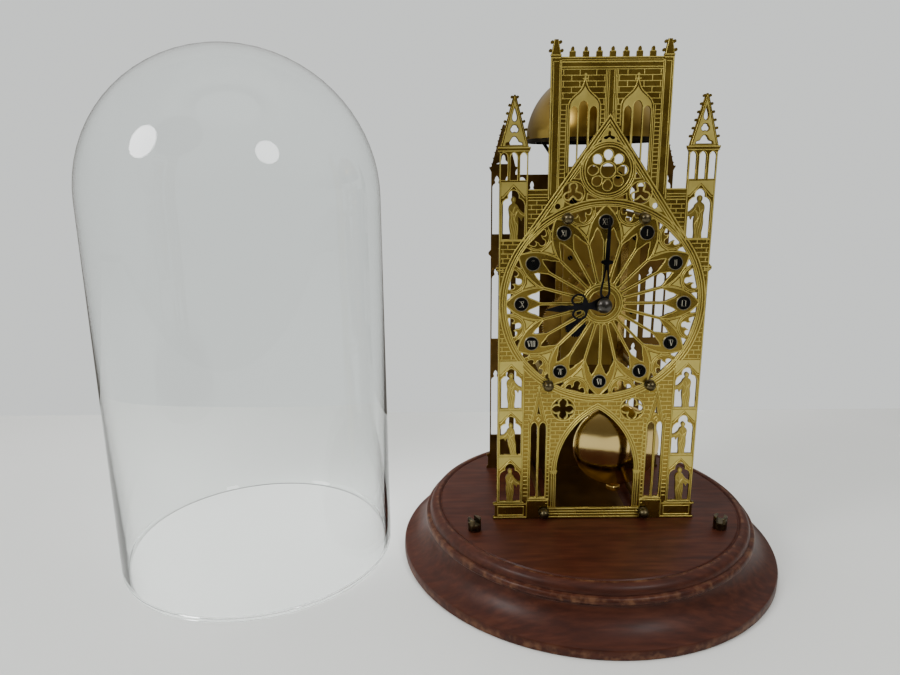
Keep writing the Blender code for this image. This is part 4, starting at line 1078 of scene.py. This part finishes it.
minute_right = [(0.1, -3.4), (2.4, -2.5), (3.3, -0.5), (3.0, 2.2), (2.6, 4.6), (3.3, 7.8), (3.4, 10.4),
                (2.6, 16.0), (1.7, 22.0), (1.4, 26.6), (1.8, 27.6), (3.6, 28.2), (4.1, 29.2), (3.5, 30.2),
                (1.8, 30.6), (1.4, 32.0), (1.25, 42.0), (1.0, 52.0), (0.35, 59.2)]
slot = smooth(symmetric([(0.0, 6.0), (1.7, 7.6), (2.1, 10.2), (1.2, 16.6), (0.3, 23.4)]), 3, True)
hand("minute_hand_blade", minute_right, [slot, ring((0, 0), 1.65, 24)], 1.5, -39.6, -38.8, "minute_work",
     "minute_hand")
hour_right = [(0.1, -5.4), (3.4, -4.4), (5.2, -1.6), (5.0, 1.8), (3.4, 5.4), (2.2, 8.4), (2.6, 10.2),
              (5.6, 11.0), (8.2, 12.8), (9.1, 16.0), (8.2, 19.2), (5.6, 21.2), (3.2, 21.0), (1.5, 19.8),
              (1.3, 22.6), (2.0, 26.0), (2.2, 29.6), (1.2, 34.6), (0.15, 39.0)]
eye = smooth([(5.0, 12.3), (7.2, 13.8), (7.9, 16.4), (7.0, 18.6), (5.2, 19.9), (3.2, 19.2), (2.0, 17.0),
              (2.4, 14.0)], 3, True)
hand("hour_hand_blade", hour_right, [eye, mirrored(eye), ring((0, 0), 3.45, 28)], 265.0, -36.5, -35.7,
     "hour_work", "hour_hand")
cap = [(1.65, 0.0), (5.2, 0.0), (5.2, 0.7)] + smooth([(5.1, 0.9), (4.6, 2.0), (3.4, 3.2), (1.8, 4.0),
                                                      (0.9, 4.25)], 3)
cap += [(0.8, 3.9), (0.0, 3.9)]
turn("hub_cap", [(0.0, 1.9), (1.65, 1.9)] + cap, at(0.0, AXIS, -0.0399), HUB_STEEL, "hand_nut",
     body="minute_work", slot="blued_steel")


# ---- pendulum ----
ROD_X = 0.0215                 # the pendulum hangs to the right of the centre line
bob_front = smooth([(32.5, 0.0), (31.9, 0.85), (30.4, 1.8), (26.5, 3.6), (20.0, 5.8), (12.0, 7.7),
                    (5.0, 8.45), (0.0, 8.6)], 5)
turn("bob", [(0.0, -1.6), (31.9, -1.2), (32.5, -0.4)] + bob_front, (ROD_X, -0.004, FOOT + 0.0448), BOB_BRASS,
     "pendulum_bob", body="pendulum", steps=128)
knurled = spun([(r, 360 * (i + share) / 44) for i in range(44) for r, share in ((5.0, 0.0), (5.2, 0.5))])
nut_rings = ((8.0, 0.94), (8.5, 1.0), (11.1, 1.0), (11.6, 0.94), (11.6, 0.78), (10.4, 0.74), (10.4, 0.34),
             (8.0, 0.34))
nut_points = [(ROD_X + x * MM * share, -0.0011 + y * MM * share, FOOT + height * MM)
              for height, share in nut_rings for x, y in knurled]
nut_faces = band(len(knurled), [(k, (k + 1) % 8) for k in range(8)])
settle(mesh_object("rating_nut_knurled", nut_points, nut_faces, BRASS), "rating", "polished_brass",
       "rating_nut")


# ---- bell ----
bell_at = (0.0, 0.025, FOOT + (269.5 - GAP) * MM)   # middle of the rim
bell_wall = arc((0, 0), 47.0, 86.8, 6.0, 20) + [(46.6, 2.0), (46.4, 0.0), (45.7, 0.0)]
turn("bell_cup", bell_wall + arc((0, 0), 45.7, 2.0, 86.6, 20), bell_at, SHADED_BELL_BRASS, "bell", axis="z",
     steps=128)
# A near-black sheet inside the cup, reaching 2.6 mm below its rim: painted shade for the bell's dark inside
# and the dark band under the rim.
shade_sheet = arc((0, 0), 45.6, 86.6, 0.4, 20) + [(46.2, -0.2), (46.2, -2.6), (45.4, -2.6)]
turn("bell_shade_sheet", shade_sheet + arc((0, 0), 45.2, 0.4, 86.5, 20), bell_at, BELL_SHADE, axis="z", steps=96)
turn("bell_cap_nut", [(2.3, 47.5), (4.4, 47.5), (4.4, 48.6), (3.9, 49.6), (3.2, 50.2), (2.3, 50.4)], bell_at,
     BRASS, "bell_nut", axis="z", steps=6)


# ---- back facade ----
# the arbors' places on the dial's plane, about the centre of the hands
CENTRE, BARREL, THIRD = (0.0, 0.0), (-11.0, -23.83), (-2.86, 20.88)
ESCAPE, ANCHOR, MINUTE = (14.2, 26.6), (21.5, 40.4), (-9.6, 7.2)


def back_facade():
    """The plain back plate with its tall ogee lights."""
    half = [(0.0, 0.0)] + column_edge(250.3, 281.7)
    half += [(51.7, 244.3), (11.5, 244.3), (0.0, 258.5)]
    edge = half + mirrored(half[1:-1])

    def light(left, right, sill, top):
        middle = (left + right) / 2
        wide = (right - left) / 2
        head = [(wide, top - 8.4), (wide * 0.8, top - 6.8), (wide * 0.42, top - 6.0),
                (wide * 0.34, top - 5.0), (wide * 0.52, top - 3.4), (wide * 0.34, top - 1.4)]
        return ([(left, sill), (right, sill)] + [(middle + x, z) for x, z in head] + [(middle, top)]
                + [(middle - x, z) for x, z in reversed(head)])

    lights = [light(middle - 3.4, middle + 3.4, sill, top) for middle in (57.6, 66.0)
              for sill, top in ((198.5, 243.6), (113.4, 172.0), (29.6, 87.0))]
    lights += [light(43.4, 50.2, 113.4, 172.0), light(30.8, 40.8, 113.4, 176.0),
               light(43.4, 50.2, 29.6, 109.5), lancet(43.6, 49.6, 234.6, 239.4, 242.4),
               light(35.6, 41.8, 198.5, 239.5)]
    lights += [over_column(symmetric([(5.6, 252.4), (3.4, 253.4), (1.6, 255.2), (1.2, 258.0),
                                      (0.0, 259.4)]))]
    loops = []
    for loop in lights:
        loops += [loop, mirrored(loop)]
    loops.append(ring((BARREL[0], DIAL + BARREL[1]), 4.0, 28))
    settle(pierced("back_facade", edge, loops, back_low.y, back_high.y, DULL_BRASS, at(0.0, 0.0)),
           FRAME_BODY, "dark_brass", "back_plate")
    art = Relief()
    for side in (-1, 1):
        crockets(art, (COLUMN + side * 8.7, 250.6), (COLUMN + side * 0.5, 280.4), 7, 1.0)
    settle(art.made("back_crockets", DULL_BRASS, back_low.y + RELIEF * MM), FRAME_BODY, "dark_brass")


back_facade()


# ---- movement ----
def gear(teeth, module, phase):
    """A toothed outline about the origin, a tooth pointing at the phase angle."""
    tooth = ((-0.32, -1.2), (-0.2, -0.1), (-0.09, 0.85), (0.0, 1.0), (0.09, 0.85), (0.2, -0.1), (0.32, -1.2))
    return spun([(module * teeth / 2 + module * reach, phase + 360 * (index + share) / teeth)
                 for index in range(teeth) for share, reach in tooth])


def windows(rim, hub, spokes, width):
    """Openings between a wheel's spokes."""
    loops = []
    for index in range(spokes):
        outer_gap = math.degrees(width / 2 / rim)
        inner_gap = math.degrees(width / 2 / hub)
        low = 360 * index / spokes
        high = low + 360 / spokes
        loops.append(arc((0, 0), rim, low + outer_gap, high - outer_gap, 14)
                     + arc((0, 0), hub, high - inner_gap, low + inner_gap, 6))
    return loops


def bearing_of(start, end):
    """The direction from one arbor to another."""
    return math.degrees(math.atan2(end[1] - start[1], end[0] - start[0]))




def module_of(start, end, driver, driven):
    """The module at which two wheels on their arbors mesh, from their teeth."""
    return 2 * math.dist(start, end) / (driver + driven)


great_module = module_of(BARREL, CENTRE, 80, 10)
centre_module = module_of(CENTRE, THIRD, 84, 7)
third_module = module_of(THIRD, ESCAPE, 88, 7)
motion_module = module_of(CENTRE, MINUTE, 36, 12)
hour_module = module_of(CENTRE, MINUTE, 40, 10)


def wheel(name, offset, loops, near, far, body, *nodes):
    """A flat toothed wheel at a place on the dial's plane."""
    lay(name, loops[0], loops[1:], near, far, TRAIN_BRASS, at(offset[0], AXIS + offset[1]), *nodes,
        body=body)


def arbor(name, offset, profile, body):
    """A turned arbor; profile heights run towards -y from the origin plane."""
    turn(name, profile, at(offset[0], AXIS + offset[1]), TRAIN_BRASS, body=body, steps=32)


def spindle(radius, near, far, collars=()):
    """An arbor's profile between two depths, with collars (depth, reach, half length)."""
    profile = [(0.0, -far), (radius, -far)]
    for depth, reach, half in sorted(collars, reverse=True):
        profile += [(radius, -(depth + half)), (reach, -(depth + half)), (reach, -(depth - half)),
                    (radius, -(depth - half))]
    return profile + [(radius, -near), (0.0, -near)]


wheel("great_wheel", BARREL, [gear(80, great_module, bearing_of(CENTRE, BARREL) + 180 + 180),
                              ring((0, 0), 3.2, 24)], 9.0, 11.6, "barrel", "going_barrel")
arbor("barrel_drum", BARREL, [(2.7, -11.6), (18.4, -11.6), (19.0, -12.2), (19.0, -26.4), (18.4, -27.0),
                              (2.7, -27.0)], "barrel")
wheel("centre_wheel_rim", CENTRE, [gear(84, centre_module, bearing_of(CENTRE, THIRD))]
      + windows(15.6, 4.6, 5, 2.4), 30.0, 31.6, "minute_work", "centre_wheel")
wheel("centre_leaves", CENTRE, [gear(10, great_module, bearing_of(CENTRE, BARREL) + 18)], 8.0, 13.0,
      "minute_work")
arbor("centre_arbor", CENTRE, spindle(1.3, -41.2, 41.6, ((30.8, 4.0, 1.6),)), "minute_work")
wheel("third_wheel_rim", THIRD, [gear(88, third_module, bearing_of(THIRD, ESCAPE))]
      + windows(13.4, 4.2, 5, 2.2), 20.0, 21.6, "third", "third_wheel")
wheel("third_leaves", THIRD, [gear(7, centre_module, bearing_of(THIRD, CENTRE) + 180 / 7)], 28.4, 33.2,
      "third")
arbor("third_arbor", THIRD, spindle(1.0, 3.4, 40.6, ((20.8, 3.4, 1.5),)), "third")
escape_teeth = spun([(radius, 360 * (index + share) / 30) for index in range(30)
                     for radius, share in ((9.0, 0.0), (9.3, 0.3), (11.0, 0.62), (10.7, 0.68), (9.0, 0.74))])
wheel("escape_rim", ESCAPE, [escape_teeth] + windows(7.8, 3.0, 4, 1.5), 11.0, 12.4, "escape", "escape_wheel")
wheel("escape_leaves", ESCAPE, [gear(7, third_module, bearing_of(ESCAPE, THIRD) + 180 / 7)], 18.4, 23.2,
      "escape")
arbor("escape_arbor", ESCAPE, spindle(1.0, 3.4, 40.6, ((11.7, 2.6, 1.4),)), "escape")
wheel("minute_wheel_rim", MINUTE, [gear(36, motion_module, bearing_of(MINUTE, CENTRE) + 5)]
      + windows(6.8, 3.2, 4, 1.6), 0.8, 2.2, "motion_wheel", "minute_wheel")
wheel("minute_leaves", MINUTE, [gear(10, hour_module, bearing_of(MINUTE, CENTRE))], -4.8, 1.5,
      "motion_wheel")
arbor("minute_stud", MINUTE, spindle(1.0, -5.2, 6.6), "motion_wheel")
wheel("cannon_leaves", CENTRE, [gear(12, motion_module, bearing_of(CENTRE, MINUTE)), ring((0, 0), 1.65, 20)],
      0.3, 3.5, "minute_work", "cannon_pinion")
wheel("hour_wheel_rim", CENTRE, [gear(40, hour_module, bearing_of(CENTRE, MINUTE) + 4.5),
                                 ring((0, 0), 2.4, 24)] + windows(7.8, 4.4, 4, 1.8), -4.2, -2.8, "hour_work",
      "hour_wheel")
arbor("hour_pipe", CENTRE, [(1.8, 0.2), (3.1, 0.2), (3.1, 37.0), (1.8, 37.0)], "hour_work")


def movement_plates():
    """The two plates, their pivot holes, standoffs, posts and screws."""
    edge = [(-21.0, 106.0), (24.0, 106.0), (24.0, 140.0), (34.0, 140.0), (34.0, 212.0), (20.0, 212.0),
            (20.0, 250.0), (-19.0, 250.0), (-19.0, 212.0), (-21.0, 210.0)]
    hammer = (-8.0, 78.4)
    pivots = [ring((x, z + AXIS), 1.4, 20) for x, z in (THIRD, ESCAPE, ANCHOR, hammer)]
    pivots += [ring((0.0, AXIS), 1.8, 24), ring((BARREL[0], AXIS + BARREL[1]), 2.8, 28)]
    motion = [ring((MINUTE[0], AXIS + MINUTE[1]), 1.4, 20)]
    lay("movement_plate_front", edge, pivots + motion, 4.0, 6.0, PLATE_BRASS, at(0.0, 0.0),
        "movement_front_plate")
    lay("movement_plate_back", edge, pivots, 38.0, 40.0, PLATE_BRASS, at(0.0, 0.0), "movement_back_plate")
    for name, height in (("upper", 226.0), ("lower", 112.0)):
        standoff = [(0.0, 0.0), (3.2, 0.0), (3.2, 2.0), (2.6, 2.6), (2.6, 13.6), (3.2, 14.2), (3.2, 16.4),
                    (0.0, 16.4)]
        turn("standoff_" + name, standoff, at(0.0, height, 0.0562), BRASS, steps=32)
    for name, (x, height) in {"upper_left": (-15.5, 226.0), "upper_right": (15.5, 244.0),
                              "lower_left": (-17.4, 109.6), "lower_right": (20.0, 109.6)}.items():
        post = [(0.0, -37.7), (2.8, -37.7), (2.8, -36.0), (2.2, -35.0), (2.2, -9.0), (2.8, -8.0),
                (2.8, -6.3), (0.0, -6.3)]
        turn("post_" + name, post, at(x, height), BRASS, "movement_pillar_" + name, steps=32)
        screw("post_screw_" + name, x, height, 2.5)
    for index, (x, height) in enumerate(((29.6, 200.0), (22.0, 181.0), (-16.4, 186.0), (30.0, 146.0),
                                         (-16.0, 150.0))):
        screw(f"plate_screw_{index}", x, height, 1.7)


def screw(name, x, height, radius):
    """A dark domed screw head with a slot, on the front of the movement's plate."""
    for side in (-1, 1):
        half = [(side * (0.25 + (radius - 0.25) * math.sin(math.radians(a))),
                 radius * 0.98 * math.cos(math.radians(a))) for a in range(0, 181, 12)]
        turned_half = [(a * 0.8 - b * 0.6, a * 0.6 + b * 0.8) for a, b in half]
        lay(f"{name}_{side + 1}", turned_half, [], 3.0, 3.98, STEEL, at(x, height), slot="blued_steel")


movement_plates()


# ---- finishes of the model's own parts ----
FINISHES = {"mahogany": MAHOGANY, "etched_brass": FIELD_BRASS, "dark_brass": DULL_BRASS,
            "polished_brass": BRASS, "antique_brass": ANTIQUE, "black_enamel": ENAMEL, "blued_steel": STEEL,
            "clear_glass": GLASS}
for part in frame["record"]["subparts"]:
    node = frame["nodes"][part["node"]]
    node.data.materials.clear()
    node.data.materials.append(FINISHES[part["material_slot"]])


# ---- stage, light and camera ----
def lighting():
    """Pale surroundings for what is seen through, and a warmer, darker room for what is reflected."""
    world = bpy.data.worlds.new("studio")
    bpy.context.scene.world = world
    world.use_nodes = True
    tree = world.node_tree
    join = tree.links.new
    seen = tree.nodes["Background"]
    seen.inputs["Color"].default_value = (0.90, 0.925, 0.91, 1.0)
    lit = tree.nodes.new("ShaderNodeBackground")
    aim = axes(tree, "Generated")
    sky = ramp(tree, aim["Z"], [(0.0, (0.30, 0.28, 0.25)), (0.18, (0.30, 0.29, 0.27)),
                                (0.45, (0.9, 0.9, 0.88)), (1.0, (1.0, 1.0, 0.98))])
    room = ramp(tree, aim["Z"], [(0.0, (0.18, 0.155, 0.105)), (0.25, (0.25, 0.215, 0.155)),
                                 (0.6, (0.7, 0.7, 0.66)), (1.0, (1.0, 1.0, 0.98))])
    behind = spread(tree, aim["Y"], first=-0.45, last=0.25)
    join(mixed(tree, Factor=behind, A=room, B=sky), lit.inputs["Color"])
    lit.inputs["Strength"].default_value = 0.75
    rays = tree.nodes.new("ShaderNodeLightPath")
    choose = tree.nodes.new("ShaderNodeMixShader")
    through = tree.nodes.new("ShaderNodeMath")
    through.operation = "MAXIMUM"
    join(rays.outputs["Is Camera Ray"], through.inputs[0])
    join(rays.outputs["Is Transmission Ray"], through.inputs[1])
    join(through.outputs["Value"], choose.inputs["Fac"])
    join(lit.outputs["Background"], choose.inputs[1])
    join(seen.outputs["Background"], choose.inputs[2])
    join(choose.outputs["Shader"], tree.nodes["World Output"].inputs["Surface"])


LAMPS = (("key", (-1.28, -0.69, 1.08), (-0.1, 0, 0.15), 0.5, 12.0),
         ("fill", (0.63, -0.9, 1.07), (0, 0, 0.15), 0.42, 6.0),
         ("top", (-0.1, 0.3, 1.7), (-0.1, 0, 0.1), 1.4, 12.0))


def lamps():
    """Soft round lamps as (name, place, aim, size, power); the top one is kept out of reflections."""
    for name, place, aim, size, power in LAMPS:
        lamp = bpy.data.lights.new(name, "AREA")
        lamp.size = size
        lamp.energy = power
        lamp.shape = "DISK"
        made = bpy.data.objects.new(name, lamp)
        made.location = place
        made.visible_glossy = name != "top"
        made.visible_transmission = name != "top"
        made.rotation_euler = (Vector(aim) - Vector(place)).to_track_quat("-Z", "Y").to_euler()
        bpy.context.scene.collection.objects.link(made)


def floor_material():
    """Matt off-white paper."""
    made, tree, bsdf = shader("pale_floor", (0.78, 0.79, 0.77), 0.0, 0.55)
    stops = [(0.35, (0.76, 0.775, 0.75)), (0.65, (0.80, 0.81, 0.79))]
    tree.links.new(ramp(tree, noise(tree, 3.0), stops), bsdf.inputs["Base Color"])
    return made


def camera():
    """The camera, in front of the object, level with its tower and looking down at it."""
    place = Vector((-0.1029, -0.4975, 0.286))
    pitch, roll, yaw = (math.radians(a) for a in (13.624, -0.477, -0.052))
    ahead = Vector((math.sin(yaw) * math.cos(pitch), math.cos(yaw) * math.cos(pitch), -math.sin(pitch)))
    level = Vector((math.cos(yaw), -math.sin(yaw), 0.0))
    above = level.cross(ahead)
    right = math.cos(roll) * level + math.sin(roll) * above
    up = right.cross(ahead)
    data = bpy.data.cameras.new("camera")
    data.lens = 27.89
    data.sensor_width = 36.0
    made = bpy.data.objects.new("camera", data)
    facing = Matrix((right, up, -ahead)).transposed().to_4x4()
    made.matrix_world = Matrix.Translation(place) @ facing
    bpy.context.scene.collection.objects.link(made)
    bpy.context.scene.camera = made


# The pale floor ends a little behind the object, where the pale wall would begin.
mesh_object("floor", [(-3, -0.9, 0), (3, -0.9, 0), (3, 0.3, 0), (-3, 0.3, 0)], [(0, 1, 2, 3)],
                     floor_material())
lighting()
lamps()
camera()
